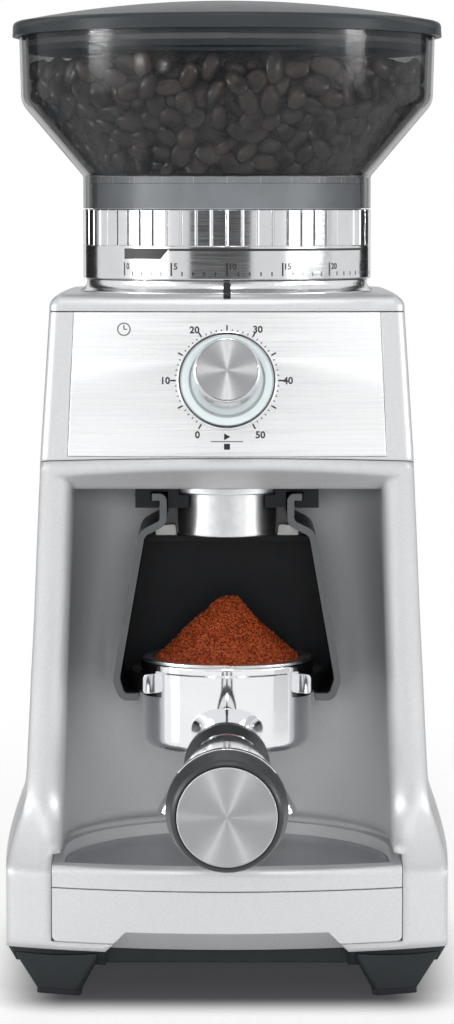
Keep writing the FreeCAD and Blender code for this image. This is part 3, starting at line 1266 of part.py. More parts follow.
def dial():
    seat = LIGHT_R + SNUG
    inner = KNOB_R + 0.5
    bezel = revolve([(seat, 0), (BEZEL_R, 0), (BEZEL_R, BEZEL_HEIGHT, 0.6), (seat, BEZEL_HEIGHT, 0.4)])
    light = revolve([(inner, -PANEL_SHEET), (LIGHT_R, -PANEL_SHEET), (LIGHT_R, LIGHT_HEIGHT, 0.3),
                     (inner, LIGHT_HEIGHT, 0.3)])
    end = KNOB_LIFT + KNOB_LENGTH
    cup = end - KNOB_CUP
    socket = end - KNOB_FACE
    bore = ENCODER_SHAFT_R + SNUG
    cap_seat = KNOB_FACE_R - KNOB_RIM
    knob = revolve([(bore, KNOB_LIFT), (KNOB_R, KNOB_LIFT, 0.6), (KNOB_FACE_R, end, 0.8), (cap_seat, end),
                    (cap_seat, cup), (0, cup), (0, socket), (bore, socket)])
    cap = cylinder(cap_seat - RUN, cup, end - RUN)
    shaft = cylinder(ENCODER_SHAFT_R, -8.0, socket)
    body = block(-ENCODER_HALF, ENCODER_HALF, -ENCODER_HALF, ENCODER_HALF, -ENCODER_DEPTH, -WALL - RUN)
    body = body.cut(hole(ENCODER_SHAFT_R + RUN))
    board = block(-45, 45, -17, 17, -ENCODER_DEPTH - BOARD, -ENCODER_DEPTH)
    shapes = {"dial_bezel": bezel, "light_ring": light, "dial_knob": knob, "dial_cap": cap,
              "encoder_shaft": shaft, "encoder_body": body, "control_board": board}
    return {name: on_panel(shape) for name, shape in shapes.items()}


def power_board():
    """Board in the base with its transformer and two capacitors."""
    deck = BOARD_Z + BOARD
    board = block(-BOARD_HALF, BOARD_HALF, BOARD_FRONT, BOARD_BACK, BOARD_Z, deck)
    core = block(-30, 2, BOARD_FRONT + 6, BOARD_BACK - 10, deck, deck + 24)
    cans = [cylinder(6, deck, deck + 22, 22, y) for y in (BOARD_FRONT + 10, BOARD_FRONT + 26)]
    return board.fuse([core] + cans)


def pieces():
    """Every piece of the grinder by its name."""
    found = {}
    for group in (housing, feet, hopper, lid, upper_burr, burr_drive, gear_train, gearbox, motor, outlet,
                  cradle, start_plunger, portafilter, drip_tray, dial):
        found.update(group())
    for single in (top_cover, index_marker, base_plate, housing_screws, cord_gland, grind_collar,
                   burr_chamber, shaft_bearings, cradle_rail, power_board):
        found[single.__name__] = single()
    return found


os.makedirs("parts", exist_ok=True)
for name, shape in pieces().items():
    placed = shape.copy()
    placed.translate(ORIGIN_SHIFT)
    placed.exportStep("parts/" + name + ".step")
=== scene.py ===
import json
import math

import bpy
import numpy as np
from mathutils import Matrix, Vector

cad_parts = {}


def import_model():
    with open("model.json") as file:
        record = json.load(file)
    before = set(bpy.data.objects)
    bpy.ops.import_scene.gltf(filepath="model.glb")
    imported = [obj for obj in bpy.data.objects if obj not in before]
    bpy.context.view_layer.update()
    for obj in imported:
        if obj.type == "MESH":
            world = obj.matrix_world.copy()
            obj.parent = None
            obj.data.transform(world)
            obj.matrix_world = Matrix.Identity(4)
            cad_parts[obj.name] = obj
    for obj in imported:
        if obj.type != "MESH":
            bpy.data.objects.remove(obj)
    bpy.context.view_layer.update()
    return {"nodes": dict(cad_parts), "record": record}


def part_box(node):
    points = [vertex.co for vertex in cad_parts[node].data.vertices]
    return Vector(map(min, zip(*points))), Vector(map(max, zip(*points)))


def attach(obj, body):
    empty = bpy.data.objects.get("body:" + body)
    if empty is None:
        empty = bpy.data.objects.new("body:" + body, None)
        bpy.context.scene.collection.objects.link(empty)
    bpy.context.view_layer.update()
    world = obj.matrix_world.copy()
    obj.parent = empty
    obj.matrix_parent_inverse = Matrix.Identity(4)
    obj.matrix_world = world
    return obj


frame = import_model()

NODES = frame["nodes"]
MM = 0.001

# Places of the part that the pieces below fit to, in mm about the burr axis

AXIS_Y = 62.75               # burr axis in the frame
BOSS_R = 59.6                # polished boss under the collar
COLLAR_R = 58.2              # smooth band of the collar
OUTLET_Y = -42.0             # axis of the outlet and of the basket under it
DIAL_Z = 239.3
PANEL_TILT = math.radians(14)
PANEL_TOP_Y = -68.0
PANEL_TOP_Z = 265.4
PANEL_BOW = 500.0            # radius of the panel's bow
HOPPER_Z = (305, 319.8, 349, 377)
HOPPER_R = (55.7, 55.7, 80.6, 81.2)          # inner radius of the bowl at these heights


# Helpers for colours, meshes and placing

def tone(red, green, blue):
    """Linear colour of a screen colour given as 0 to 255."""
    parts = [c / 255 for c in (red, green, blue)]
    return [c / 12.92 if c <= 0.04045 else ((c + 0.055) / 1.055) ** 2.4 for c in parts] + [1.0]


def piece(name, points, faces, body, look, smooth=True):
    """Mesh piece from points in mm about the burr axis."""
    points = np.asarray(points, float) + (0.0, AXIS_Y, 0.0)
    mesh = bpy.data.meshes.new(name)
    mesh.from_pydata((points * MM).tolist(), [], faces)
    mesh.update()
    mesh.polygons.foreach_set("use_smooth", [smooth] * len(mesh.polygons))
    obj = bpy.data.objects.new(name, mesh)
    bpy.context.scene.collection.objects.link(obj)
    mesh.materials.append(look)
    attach(obj, body)
    return obj


class Sheet:
    """Collects points and faces of one mesh."""

    def __init__(self):
        self.points = []
        self.faces = []

    def add(self, points, faces):
        start = len(self.points)
        self.points += [tuple(p) for p in points]
        self.faces += [[i + start for i in f] for f in faces]

    def grid(self, rows):
        """Faces between closed rows of points."""
        count = len(rows[0])
        points = [p for row in rows for p in row]
        faces = []
        for r in range(len(rows) - 1):
            for c in range(count):
                d = (c + 1) % count
                faces.append((r * count + c, r * count + d, (r + 1) * count + d, (r + 1) * count + c))
        self.add(points, faces)


# Materials

NOISE_LOW, NOISE_HIGH = 0.3, 0.7             # range of pattern values that a look spreads over


class Look:
    """A principled material with procedural detail."""

    def __init__(self, name, color, rough, metal=0.0, **sockets):
        self.material = bpy.data.materials.new(name)
        self.material.use_nodes = True
        self.nodes = self.material.node_tree.nodes
        self.links = self.material.node_tree.links
        self.shader = self.nodes["Principled BSDF"]
        self.color = color
        self.rough = rough
        self.normal = None
        self.set("Base Color", color)
        self.set("Roughness", rough)
        self.set("Metallic", metal)
        for socket, value in sockets.items():
            self.set(socket.replace("_", " "), value)

    def set(self, socket, value):
        self.shader.inputs[socket].default_value = value

    def node(self, kind, **values):
        """Node whose settings and inputs are given by name."""
        made = self.nodes.new(kind)
        for key, value in values.items():
            if hasattr(made, key):
                setattr(made, key, value)
            else:
                made.inputs[key.replace("_", " ")].default_value = value
        return made

    def place(self, stretch):
        """Object coordinates in millimetres, stretched."""
        where = self.node("ShaderNodeTexCoord")
        scale = self.node("ShaderNodeMapping")
        scale.inputs["Scale"].default_value = [1000 / s for s in stretch]
        self.links.new(where.outputs["Object"], scale.inputs["Vector"])
        return scale.outputs["Vector"]

    def noise(self, size, stretch=(1, 1, 1), detail=3.0):
        """Noise with features of about this many millimetres."""
        made = self.node("ShaderNodeTexNoise", Scale=1.0 / size, Detail=detail, Roughness=0.55)
        self.links.new(self.place(stretch), made.inputs["Vector"])
        return made.outputs["Fac"]

    def cells(self, size):
        """Random value per cell of about this many millimetres."""
        made = self.node("ShaderNodeTexVoronoi", Scale=1.0 / size)
        self.links.new(self.place((1, 1, 1)), made.inputs["Vector"])
        split = self.node("ShaderNodeSeparateColor")
        self.links.new(made.outputs["Color"], split.inputs["Color"])
        return split.outputs["Red"]

    def mottle(self, value, spread, other=None):
        """Colour that varies round the base colour, or towards another colour."""
        made = self.node("ShaderNodeValToRGB")
        low, high = made.color_ramp.elements
        low.position, high.position = NOISE_LOW, NOISE_HIGH
        low.color = [c * (1 - spread) for c in self.color[:3]] + [1.0]
        high.color = other or [min(1.0, c * (1 + spread)) for c in self.color[:3]] + [1.0]
        self.links.new(value, made.inputs["Fac"])
        self.links.new(made.outputs["Color"], self.shader.inputs["Base Color"])
        return self

    def uneven(self, value, spread):
        """Roughness that varies round the base roughness."""
        made = self.node("ShaderNodeMapRange", From_Min=NOISE_LOW, From_Max=NOISE_HIGH,
                         To_Min=self.rough - spread, To_Max=self.rough + spread)
        self.links.new(value, made.inputs["Value"])
        self.links.new(made.outputs["Result"], self.shader.inputs["Roughness"])
        return self

    def soft_edges(self, radius):
        """Edges shaded as if rounded by this many millimetres."""
        made = self.node("ShaderNodeBevel", samples=4, Radius=radius * MM)
        self.normal = made.outputs["Normal"]
        self.links.new(self.normal, self.shader.inputs["Normal"])
        return self

    def bump(self, value, depth, strength=1.0):
        """Relief of this many millimetres."""
        made = self.node("ShaderNodeBump", Strength=strength, Distance=depth * MM)
        self.links.new(value, made.inputs["Height"])
        if self.normal:
            self.links.new(self.normal, made.inputs["Normal"])
        self.normal = made.outputs["Normal"]
        self.links.new(self.normal, self.shader.inputs["Normal"])
        return self

    def by_radius(self, radius, inside, outside, socket):
        """Value that changes at this distance from the burr axis."""
        blur = 0.2
        where = self.node("ShaderNodeTexCoord")
        flat = self.node("ShaderNodeVectorMath", operation="MULTIPLY")
        flat.inputs[1].default_value = (1, 1, 0)
        far = self.node("ShaderNodeVectorMath", operation="DISTANCE")
        far.inputs[1].default_value = (0, AXIS_Y * MM, 0)
        step = self.node("ShaderNodeMapRange", To_Min=inside, To_Max=outside,
                         From_Min=(radius - blur) * MM, From_Max=(radius + blur) * MM)
        self.links.new(where.outputs["Object"], flat.inputs[0])
        self.links.new(flat.outputs["Vector"], far.inputs[0])
        self.links.new(far.outputs["Value"], step.inputs["Value"])
        self.links.new(step.outputs["Result"], self.shader.inputs[socket])
        return self

    def see_through(self, middle, rim):
        """Alpha that rises towards the outline, as in a tinted clear wall."""
        edge = self.node("ShaderNodeLayerWeight", Blend=0.2)
        share = self.node("ShaderNodeMapRange", To_Min=middle, To_Max=rim)
        self.links.new(edge.outputs["Facing"], share.inputs["Value"])
        self.links.new(share.outputs["Result"], self.shader.inputs["Alpha"])
        return self

    def turned(self, axis):
        """Brushing round an axis through the middle of the node."""
        made = self.node("ShaderNodeTangent", direction_type="RADIAL", axis=axis)
        self.links.new(made.outputs["Tangent"], self.shader.inputs["Tangent"])
        return self


PAINT = tone(220, 221, 223)
PAINT_ROUGH = 0.38
PAINT_METAL = 0.34
POLISHED_ROUGH = 0.20
PAINT_EDGE = 0.6
BODY_EDGE = 5.0              # the tower's edges are softer than those of the casings
FLAKE = 0.22
PAINT_GRAIN = 0.3


def silver_paint(name, edges):
    look = Look(name, PAINT, PAINT_ROUGH, PAINT_METAL)
    look.soft_edges(edges).mottle(look.cells(FLAKE), 0.05).uneven(look.noise(0.9), 0.03)
    return look.bump(look.cells(PAINT_GRAIN), 0.003).bump(look.noise(60), 0.05, 0.4)


def cover_paint():
    """Silver paint, with the boss under the collar left as polished metal."""
    look = Look("cover_paint", PAINT, PAINT_ROUGH, PAINT_METAL)
    look.soft_edges(PAINT_EDGE).mottle(look.cells(FLAKE), 0.05)
    look.by_radius(BOSS_R, POLISHED_ROUGH, PAINT_ROUGH, "Roughness")
    look.by_radius(BOSS_R, 1.0, PAINT_METAL, "Metallic")
    return look.bump(look.cells(PAINT_GRAIN), 0.002)


def brushed_panel():
    look = Look("brushed_panel", tone(247, 248, 249), 0.30, 1.0, Anisotropic=0.55)
    look.turned("Z").soft_edges(0.3).mottle(look.noise(1.0, (46, 46, 0.5)), 0.05)
    return look.uneven(look.noise(1.0, (60, 60, 0.6)), 0.06).bump(look.noise(1.0, (60, 60, 0.35)), 0.010)


def chrome():
    look = Look("chrome", tone(238, 239, 241), 0.07, 1.0)
    return look.soft_edges(0.4).mottle(look.noise(14), 0.015).uneven(look.noise(5), 0.02)


def collar_metal():
    look = Look("collar_metal", tone(208, 209, 211), 0.14, 1.0)
    look.soft_edges(0.2).mottle(look.noise(9), 0.02).uneven(look.noise(1, (30, 30, 0.5)), 0.03)
    return look.bump(look.noise(1, (40, 40, 0.3)), 0.003)


def plastic(name, color, rough, grain=0.35, depth=0.012, edges=0.4, shine=0.5):
    look = Look(name, color, rough, Specular_IOR_Level=shine)
    look.soft_edges(edges).mottle(look.noise(8), 0.08).uneven(look.noise(3), 0.05)
    return look.bump(look.noise(grain, detail=2), depth)


def smoke(name, color, alpha, rim, rough, shine):
    """Tinted clear plastic."""
    look = Look(name, color, rough, Specular_IOR_Level=shine)
    look.mottle(look.noise(30), 0.05).uneven(look.noise(12), 0.02).bump(look.noise(25), 0.03, 0.3)
    return look.see_through(alpha, rim)


def turned_metal():
    look = Look("turned_metal", tone(190, 191, 193), 0.44, 1.0, Anisotropic=1.0)
    return look.turned("Y").soft_edges(0.2).mottle(look.noise(2), 0.02).uneven(look.noise(4), 0.02)


def machined(name, color, rough, metal=1.0, stretch=(20, 20, 0.4)):
    """Metal with fine marks, stretched this way."""
    look = Look(name, color, rough, metal)
    look.soft_edges(0.2).mottle(look.noise(3), 0.06).uneven(look.noise(1, stretch), 0.06)
    return look.bump(look.noise(1, stretch), 0.006)


def cast(name, color, rough):
    look = Look(name, color, rough, 0.9)
    look.soft_edges(0.4).mottle(look.noise(4), 0.08).uneven(look.noise(2), 0.08)
    return look.bump(look.noise(0.7), 0.05)


def light_guide():
    look = Look("light_guide", tone(226, 236, 238), 0.35)
    look.set("Emission Color", tone(226, 246, 249))
    look.set("Emission Strength", 0.08)
    return look.mottle(look.noise(6), 0.03).bump(look.noise(0.8), 0.01)


def board():
    look = Look("board", (0.012, 0.11, 0.05, 1.0), 0.4)
    look.mottle(look.cells(2.2), 0.25).uneven(look.noise(2), 0.08)
    return look.bump(look.cells(1.6), 0.05)


LOOKS = {
    "silver_paint": silver_paint("silver_paint", PAINT_EDGE),
    "brushed_panel": brushed_panel(),
    "chrome": chrome(),
    "collar_metal": collar_metal(),
    "black_plastic": plastic("black_plastic", tone(26, 27, 29), 0.45, shine=0.25),
    "foot_plastic": plastic("foot_plastic", tone(42, 47, 49), 0.42, edges=0.8, shine=0.2),
    "cradle_grey": plastic("cradle_grey", tone(84, 87, 88), 0.34),
    "pad_plastic": plastic("pad_plastic", tone(226, 226, 222), 0.5),
    "smoke_clear": smoke("smoke_clear", tone(46, 50, 53), 0.24, 0.95, 0.10, 0.25),
    "smoke_lid": smoke("smoke_lid", tone(72, 77, 80), 0.75, 0.97, 0.35, 0.12),
    "seal_rubber": plastic("seal_rubber", tone(112, 113, 115), 0.7),
    "pad_rubber": plastic("pad_rubber", tone(24, 24, 25), 0.8, 0.8, 0.03),
    "grip_plastic": plastic("grip_plastic", tone(42, 44, 47), 0.40, edges=0.8),
    "steel": machined("steel", tone(208, 209, 211), 0.30),
    "turned_metal": turned_metal(),
    "light_guide": light_guide(),
    "zinc": cast("zinc", tone(176, 178, 180), 0.45),
    "gear_nylon": plastic("gear_nylon", tone(224, 221, 208), 0.5, 1.2),
    "iron": machined("iron", tone(92, 92, 94), 0.45, 0.8, (40, 40, 0.35)),
    "motor_steel": machined("motor_steel", tone(172, 173, 175), 0.35, 0.9),
    "board": board(),
    "screw_steel": machined("screw_steel", tone(168, 168, 170), 0.3),
}
NODE_LOOKS = {
    "main_body": silver_paint("body_paint", BODY_EDGE),
    "chute_ring": machined("chute_steel", tone(226, 227, 228), 0.34),
    "top_cover": cover_paint(),
    "tray_sheet": machined("tray_steel", tone(172, 175, 178), 0.34, 0.9, (60, 60, 0.4)),
    "hopper_funnel": plastic("funnel_plastic", tone(180, 185, 190), 0.45),
}
for row in frame["record"]["subparts"]:
    slots = NODES[row["node"]].data.materials
    slots.clear()
    slots.append(NODE_LOOKS.get(row["node"], LOOKS[row["material_slot"]]).material)

# The clear bowl doesn't darken the beans in it
NODES["hopper"].visible_shadow = False


# Printed scales

PRINT = 0.04                 # height of print above its surface


def ink(name, color):
    look = Look(name, color, 0.5)
    return look.mottle(look.noise(0.4), 0.25).uneven(look.noise(0.6), 0.08).material


def lettering(text, height, bold):
    """Flat mesh of plain figures of this height, standing on the line and starting at 0."""
    curve = bpy.data.curves.new("figures", "FONT")
    curve.body = text
    curve.resolution_u = 3
    curve.offset = bold
    holder = bpy.data.objects.new("figures", curve)
    bpy.context.scene.collection.objects.link(holder)
    bpy.context.view_layer.update()
    mesh = bpy.data.meshes.new_from_object(holder.evaluated_get(bpy.context.evaluated_depsgraph_get()))
    points = np.array([v.co[:2] for v in mesh.vertices])
    faces = [list(f.vertices) for f in mesh.polygons]
    bpy.data.objects.remove(holder)
    bpy.data.meshes.remove(mesh)
    bpy.data.curves.remove(curve)
    points = (points - points.min(0)) * height / np.ptp(points[:, 1])
    return points, faces


def strip(lower, upper):
    """Faces between two rows of flat points."""
    steps = len(lower) - 1
    faces = [(i, i + 1, steps + 2 + i, steps + 1 + i) for i in range(steps)]
    return np.vstack([lower, upper]), faces


def flat_ring(radius, inner, steps=48):
    angles = np.radians(np.linspace(0, 360, steps + 1))
    return strip(*(np.column_stack([r * np.cos(angles), r * np.sin(angles)]) for r in (inner, radius)))


def bar(x0, y0, x1, y1, steps=1):
    along = np.linspace(x0, x1, steps + 1)
    return strip(*(np.column_stack([along, np.full(steps + 1, y)]) for y in (y0, y1)))


UNIT = 4.4                   # degrees of the collar per division
INDEX = 10                   # division that stands at the index mark
DIVISIONS = 60
NUMBERED = 5                 # divisions from one number to the next
SHORT_LINE = (0.25, 1.6)     # half width and height of a division line
LONG_LINE = (0.33, 5.2)
NUMBER_HEIGHT = 2.5
NUMBER_BOLD = 0.025
NUMBER_ASIDE = 0.23          # divisions from a long line to its number
SCALE_Z = 279.2              # foot of the division lines
NUMBER_Z = 281.7
TAG_Z = 285.8                # foot of the blank tag
TAG_HEIGHT = 4.1
TAG_FOOT = 17.7              # lengths of its lower and upper edge
TAG_HEAD = 21.4
RULE_FOOT = 3.2              # the rule that goes on from the tag, above the tag's foot
RULE_END = 112.8


def collar_scale():
    """Divisions, numbers, a blank tag and a rule, wrapped round the collar's smooth band."""
    sheet = Sheet()

    def wrap(shape, division, z):
        points, faces = shape
        angle = math.radians((division - INDEX) * UNIT) + points[:, 0] / COLLAR_R
        radius = COLLAR_R + PRINT
        wrapped = np.column_stack([radius * np.sin(angle), -radius * np.cos(angle), z + points[:, 1]])
        sheet.add(wrapped, faces)

    for division in range(DIVISIONS + 1):
        half, height = SHORT_LINE if division % NUMBERED else LONG_LINE
        wrap(bar(-half, 0, half, height), division, SCALE_Z)
        if division % NUMBERED == 0:
            wrap(lettering(str(division), NUMBER_HEIGHT, NUMBER_BOLD), division + NUMBER_ASIDE, NUMBER_Z)
    points, faces = bar(0, 0, 1, TAG_HEIGHT, 24)
    points[:, 0] *= np.where(points[:, 1] < TAG_HEIGHT / 2, TAG_FOOT, TAG_HEAD)
    wrap((points, faces), 0, TAG_Z)
    wrap(bar(TAG_HEAD, RULE_FOOT, RULE_END, TAG_HEIGHT, 100), 0, TAG_Z)
    return piece("collar_scale", sheet.points, sheet.faces, "collar",
                 ink("scale_ink", tone(24, 25, 27)), False)


def on_panel(points):
    """Points (x, up) about the dial's middle, set on the bowed, leaning front panel."""
    x = points[:, 0]
    z = DIAL_Z + points[:, 1] * math.cos(PANEL_TILT)
    bow = PANEL_BOW - np.sqrt(PANEL_BOW ** 2 - x ** 2)
    y = PANEL_TOP_Y - (PANEL_TOP_Z - z) * math.tan(PANEL_TILT) + bow
    lift = PRINT / math.cos(PANEL_TILT)
    return np.column_stack([x, y - lift, z])


SECONDS = 50
ZERO_ANGLE = 240             # degrees at which the dial's scale starts
SECOND_ANGLE = 6
SHORT_TICK = (19.6, 20.3, 0.2)       # inner and outer radius and half width
LONG_TICK = (19.8, 21.9, 0.3)
DIAL_NUMBERS = {0: (-11.4, -21.3), 10: (-23.6, 0), 20: (-12.6, 20.0), 30: (12.0, 20.2), 40: (23.6, 0),
                50: (12.9, -21.3)}
DIAL_NUMBER_HEIGHT = 2.9
DIAL_NUMBER_BOLD = 0.03
CLOCK = (-40, 20.2)          # middle of the sign for time
CLOCK_RING = (2.6, 2.2)
CLOCK_HANDS = ((-0.22, 0, 0.22, 1.7), (0, -0.2, 1.3, 0.2))
RULE_UP = -24.0              # rule between the signs for start and stop
RULE_HALF = (6.2, 0.16)
START_UP = -22.1
START_CORNERS = np.array([(-1.1, -1.35), (1.3, 0), (-1.1, 1.35)])
STOP_UP = -26.0
STOP_HALF = 1.15


def dial_scale():
    """Seconds round the dial, and plain signs for time, start and stop."""
    sheet = Sheet()

    def put(shape, x=0.0, up=0.0, turn=0.0):
        points, faces = shape
        turn = math.radians(turn)
        turned = np.column_stack([points[:, 0] * math.cos(turn) - points[:, 1] * math.sin(turn),
                                  points[:, 0] * math.sin(turn) + points[:, 1] * math.cos(turn)])
        sheet.add(on_panel(turned + (x, up)), faces)

    for second in range(SECONDS + 1):
        inner, outer, half = SHORT_TICK if second % 5 else LONG_TICK
        put(bar(inner, -half, outer, half), turn=ZERO_ANGLE - SECOND_ANGLE * second)
    for second, (x, up) in DIAL_NUMBERS.items():
        points, faces = lettering(str(second), DIAL_NUMBER_HEIGHT, DIAL_NUMBER_BOLD)
        put((points - points.max(0) / 2, faces), x, up)
    for shape in [flat_ring(*CLOCK_RING)] + [bar(*hand) for hand in CLOCK_HANDS]:
        put(shape, *CLOCK)
    half, height = RULE_HALF
    put(bar(-half, -height, half, height, 8), 0, RULE_UP)
    put((START_CORNERS, [(0, 1, 2)]), 0, START_UP)
    put(bar(-STOP_HALF, -STOP_HALF, STOP_HALF, STOP_HALF), 0, STOP_UP)
    return piece("dial_scale", sheet.points, sheet.faces, "housing",
                 ink("panel_ink", tone(26, 27, 29)), False)


collar_scale()
dial_scale()


# Coffee beans in the hopper

BEAN_HALF = (5.7, 4.1, 3.5)  # half length, half width and height of the domed side
BEAN_TAPER = 0.85            # power that makes the ends blunt
BEAN_FLAT = 0.55             # height of the flat side, as a share of the domed side
CREASE = 0.35                # half width of the crease, as a share of the half width
CREASE_START = -0.2          # height below which the flat side is creased
CREASE_DEPTH = 0.42
BEAN_STRETCH = (0.86, 1.12)  # random share of a bean's length, width and height
BEAN_SCALE = (0.92, 1.06)    # random share of its whole size
BEAN_LEAN = 0.34             # random lean away from the wall or the surface
BEANS_FLIPPED = 0.35         # share of beans with the crease outwards
BEANS = 1150
BEAN_SPACING = 8.6
BEAN_FLOOR = 319.0
# Radius and height along the outline of the plain core
BEAN_CORE = ((0.5, 319), (46, 319), (50, 324), (67, 344), (69, 354), (60, 357), (0.5, 358))
HEAP_TOP = 364.3
HEAP_DROP = 4.0              # how much lower the heap is near the wall
HEAP_R = 78.0
HEAP_WAVE = 1.4
HEAP_WAVE_LENGTHS = (13, 17)
SEARCH_R = 80                # beans start at random places in this box
SEARCH_Z = (320, 368)
START_GAP = 3                # from the wall to a bean's middle at the start
NEAR_WALL = 17               # beans are made this near the wall, or this near the surface
NEAR_TOP = 11
PACK_STEPS = 60
PACK_PUSH = 0.22
PACK_FLOOR_GAP = 3.2         # from the floor, the surface and the wall to a bean's middle
PACK_TOP_GAP = 1
PACK_WALL_GAP = 4.3
CORNER_Z = 348.0             # below this the bowl's wall leans
WALL_LEAN = -0.35
TOP_LAYER = 6                # beans this near the surface lie flat, if they are this far from the wall
TOP_LAYER_IN = 8
WALL_CLEAR = 0.5             # from the wall to the skin of the beans


def hopper_limit(z):
    """Inner radius of the hopper bowl at a height."""
    return np.interp(z, HOPPER_Z, HOPPER_R)


def heap_top(x, y):
    """Height of the bean heap's surface."""
    length_x, length_y = HEAP_WAVE_LENGTHS
    wave = HEAP_WAVE * np.sin(x / length_x + 1) * np.cos(y / length_y)
    return HEAP_TOP - HEAP_DROP * (np.hypot(x, y) / HEAP_R) ** 4 + wave


def bean_shape(around=14, along=9):
    """Bean about the origin: long in X, domed side up, creased flat side down, in mm."""
    rows = []
    for i in range(along + 1):
        t = math.pi * i / along
        x = -math.cos(t)
        r = math.sin(t) ** BEAN_TAPER
        row = []
        for j in range(around):
            a = 2 * math.pi * j / around
            y, z = math.cos(a), math.sin(a)
            if z < 0:
                z *= BEAN_FLAT
            if z < CREASE_START and abs(y) < CREASE:
                z += CREASE_DEPTH * (1 - abs(y) / CREASE)
            row.append((BEAN_HALF[0] * x, BEAN_HALF[1] * r * y, BEAN_HALF[2] * r * z))
        rows.append(row)
    sheet = Sheet()
    sheet.grid(rows)
    return np.array(sheet.points), sheet.faces


def pack_beans(rng):
    """Evenly crowded points near the hopper's wall and near the heap's surface."""
    spots = []
    while len(spots) < BEANS:
        x, y = rng.uniform(-SEARCH_R, SEARCH_R, 2)
        z = rng.uniform(*SEARCH_Z)
        inside = hopper_limit(z) - np.hypot(x, y)
        under = heap_top(x, y) - z
        if inside > START_GAP and under > 0 and (inside < NEAR_WALL or under < NEAR_TOP):
            spots.append((x, y, z))
    spots = np.array(spots)
    for _ in range(PACK_STEPS):
        gap = spots[:, None] - spots[None]
        far = np.linalg.norm(gap, axis=2)
        np.fill_diagonal(far, np.inf)
        push = np.clip(BEAN_SPACING - far, 0, None) / far
        spots = spots + PACK_PUSH * (gap * push[:, :, None]).sum(1)
        highest = heap_top(spots[:, 0], spots[:, 1]) - PACK_TOP_GAP
        z = np.clip(spots[:, 2], BEAN_FLOOR + PACK_FLOOR_GAP, highest)
        r = np.hypot(spots[:, 0], spots[:, 1])
        shrink = np.minimum(1, (hopper_limit(z) - PACK_WALL_GAP) / r)
        spots = np.column_stack([spots[:, 0] * shrink, spots[:, 1] * shrink, z])
    return spots


def bean_turn(rng, spot):
    """Random turn of a bean that mostly lies flat to the wall or to the heap's surface."""
    r = np.hypot(spot[0], spot[1])
    wall = Vector((spot[0] / r, spot[1] / r, WALL_LEAN if spot[2] < CORNER_Z else 0)).normalized()
    if heap_top(spot[0], spot[1]) - spot[2] < TOP_LAYER and hopper_limit(spot[2]) - r > TOP_LAYER_IN:
        wall = Vector((0, 0, 1))
    out = (wall + Vector(rng.normal(0, BEAN_LEAN, 3))).normalized()
    if rng.rand() < BEANS_FLIPPED:
        out = -out
    side = out.cross(Vector(rng.normal(0, 1, 3))).normalized()
    return np.column_stack([side, out.cross(side), out])


def coffee_beans():
    """Separate beans where they show, round a plain core."""
    rng = np.random.RandomState(7)
    shape, faces = bean_shape()
    sheet = Sheet()
    for spot in pack_beans(rng):
        turn = bean_turn(rng, spot)
        points = (shape * rng.uniform(*BEAN_STRETCH, 3) * rng.uniform(*BEAN_SCALE)) @ turn.T + spot
        low = np.maximum(points[:, 2], BEAN_FLOOR)
        far = np.hypot(points[:, 0], points[:, 1])
        inward = np.minimum(1, (hopper_limit(low) - WALL_CLEAR) / far)
        sheet.add(np.column_stack([points[:, 0] * inward, points[:, 1] * inward, low]), faces)
    angles = np.linspace(0, 2 * math.pi, 48, endpoint=False)
    core = []
    for r, z in BEAN_CORE:
        core.append([(r * math.cos(a), r * math.sin(a), z) for a in angles])
    sheet.grid(core)
    look = Look("roasted_bean", tone(50, 43, 41), 0.30)
    look.mottle(look.noise(6.5, detail=2), 0.6, tone(92, 80, 74)).uneven(look.noise(4), 0.10)
    look.bump(look.noise(1.6), 0.12, 0.5)
    return piece("coffee_beans", sheet.points, sheet.faces, "hopper", look.material)


coffee_beans()


# Ground coffee in the basket

GROUNDS_Z = 127.6            # height of the heap's edge
GROUNDS_APEX = 154.9
GROUNDS_R = 28.6
GROUNDS_DEPTH = 4.0          # of the rim under the edge
GROUNDS_POWER = 1.08         # hollows the cone's side a little
BLUNT_SHARE = 0.10           # share of the height that the apex loses
BLUNT_R = 3.0
LUMPS = ((7, 0.9, 0.3), (3.4, 0.5, 1.7), (1.8, 0.3, 4.1))    # size and depth in mm, and phase
LUMPS_FADE = 5.0             # mm from the edge over which the lumps fade
GRIT = 0.12                  # random height of the surface
GRAINS = 5200
GRAIN_SIZES = (0.18, 0.52)
GRAIN_STRETCH = (0.6, 1.4)   # random share of a grain's corners
GRAIN_RISE = 0.35            # height of a grain's middle over the surface, as a share of its size
LARGE_GRAINS = 0.06          # share of grains that are larger, and by how much
LARGE_MORE = 0.7
GRAINS_REACH = 0.99          # share of the radius that has grains
GRAIN_CORNERS = np.array([(1, 0, 0), (-1, 0, 0), (0, 1, 0), (0, -1, 0), (0, 0, 1), (0, 0, -1)], float)
GRAIN_FACES = [(0, 2, 4), (2, 1, 4), (1, 3, 4), (3, 0, 4), (2, 0, 5), (1, 2, 5), (3, 1, 5), (0, 3, 5)]


def grounds_height(r, a):
    """Height of the heap at a radius and an angle: a blunt cone with lumps."""
    share = np.clip(1 - r / GROUNDS_R, 0, 1)
    blunt = 1 - BLUNT_SHARE * np.exp(-(r / BLUNT_R) ** 2)
    cone = GROUNDS_Z + (GROUNDS_APEX - GROUNDS_Z) * (share ** GROUNDS_POWER) * blunt
    lumps = 0
    for size, depth, phase in LUMPS:
        x, y = r * np.cos(a) / size, r * np.sin(a) / size
        bent = np.sin(x * 2.1 + phase + 1.3 * np.sin(y * 1.7))
        lumps = lumps + depth * bent * np.cos(y * 2.3 + phase * 2)
    return cone + lumps * np.clip((GROUNDS_R - r) / LUMPS_FADE, 0, 1)


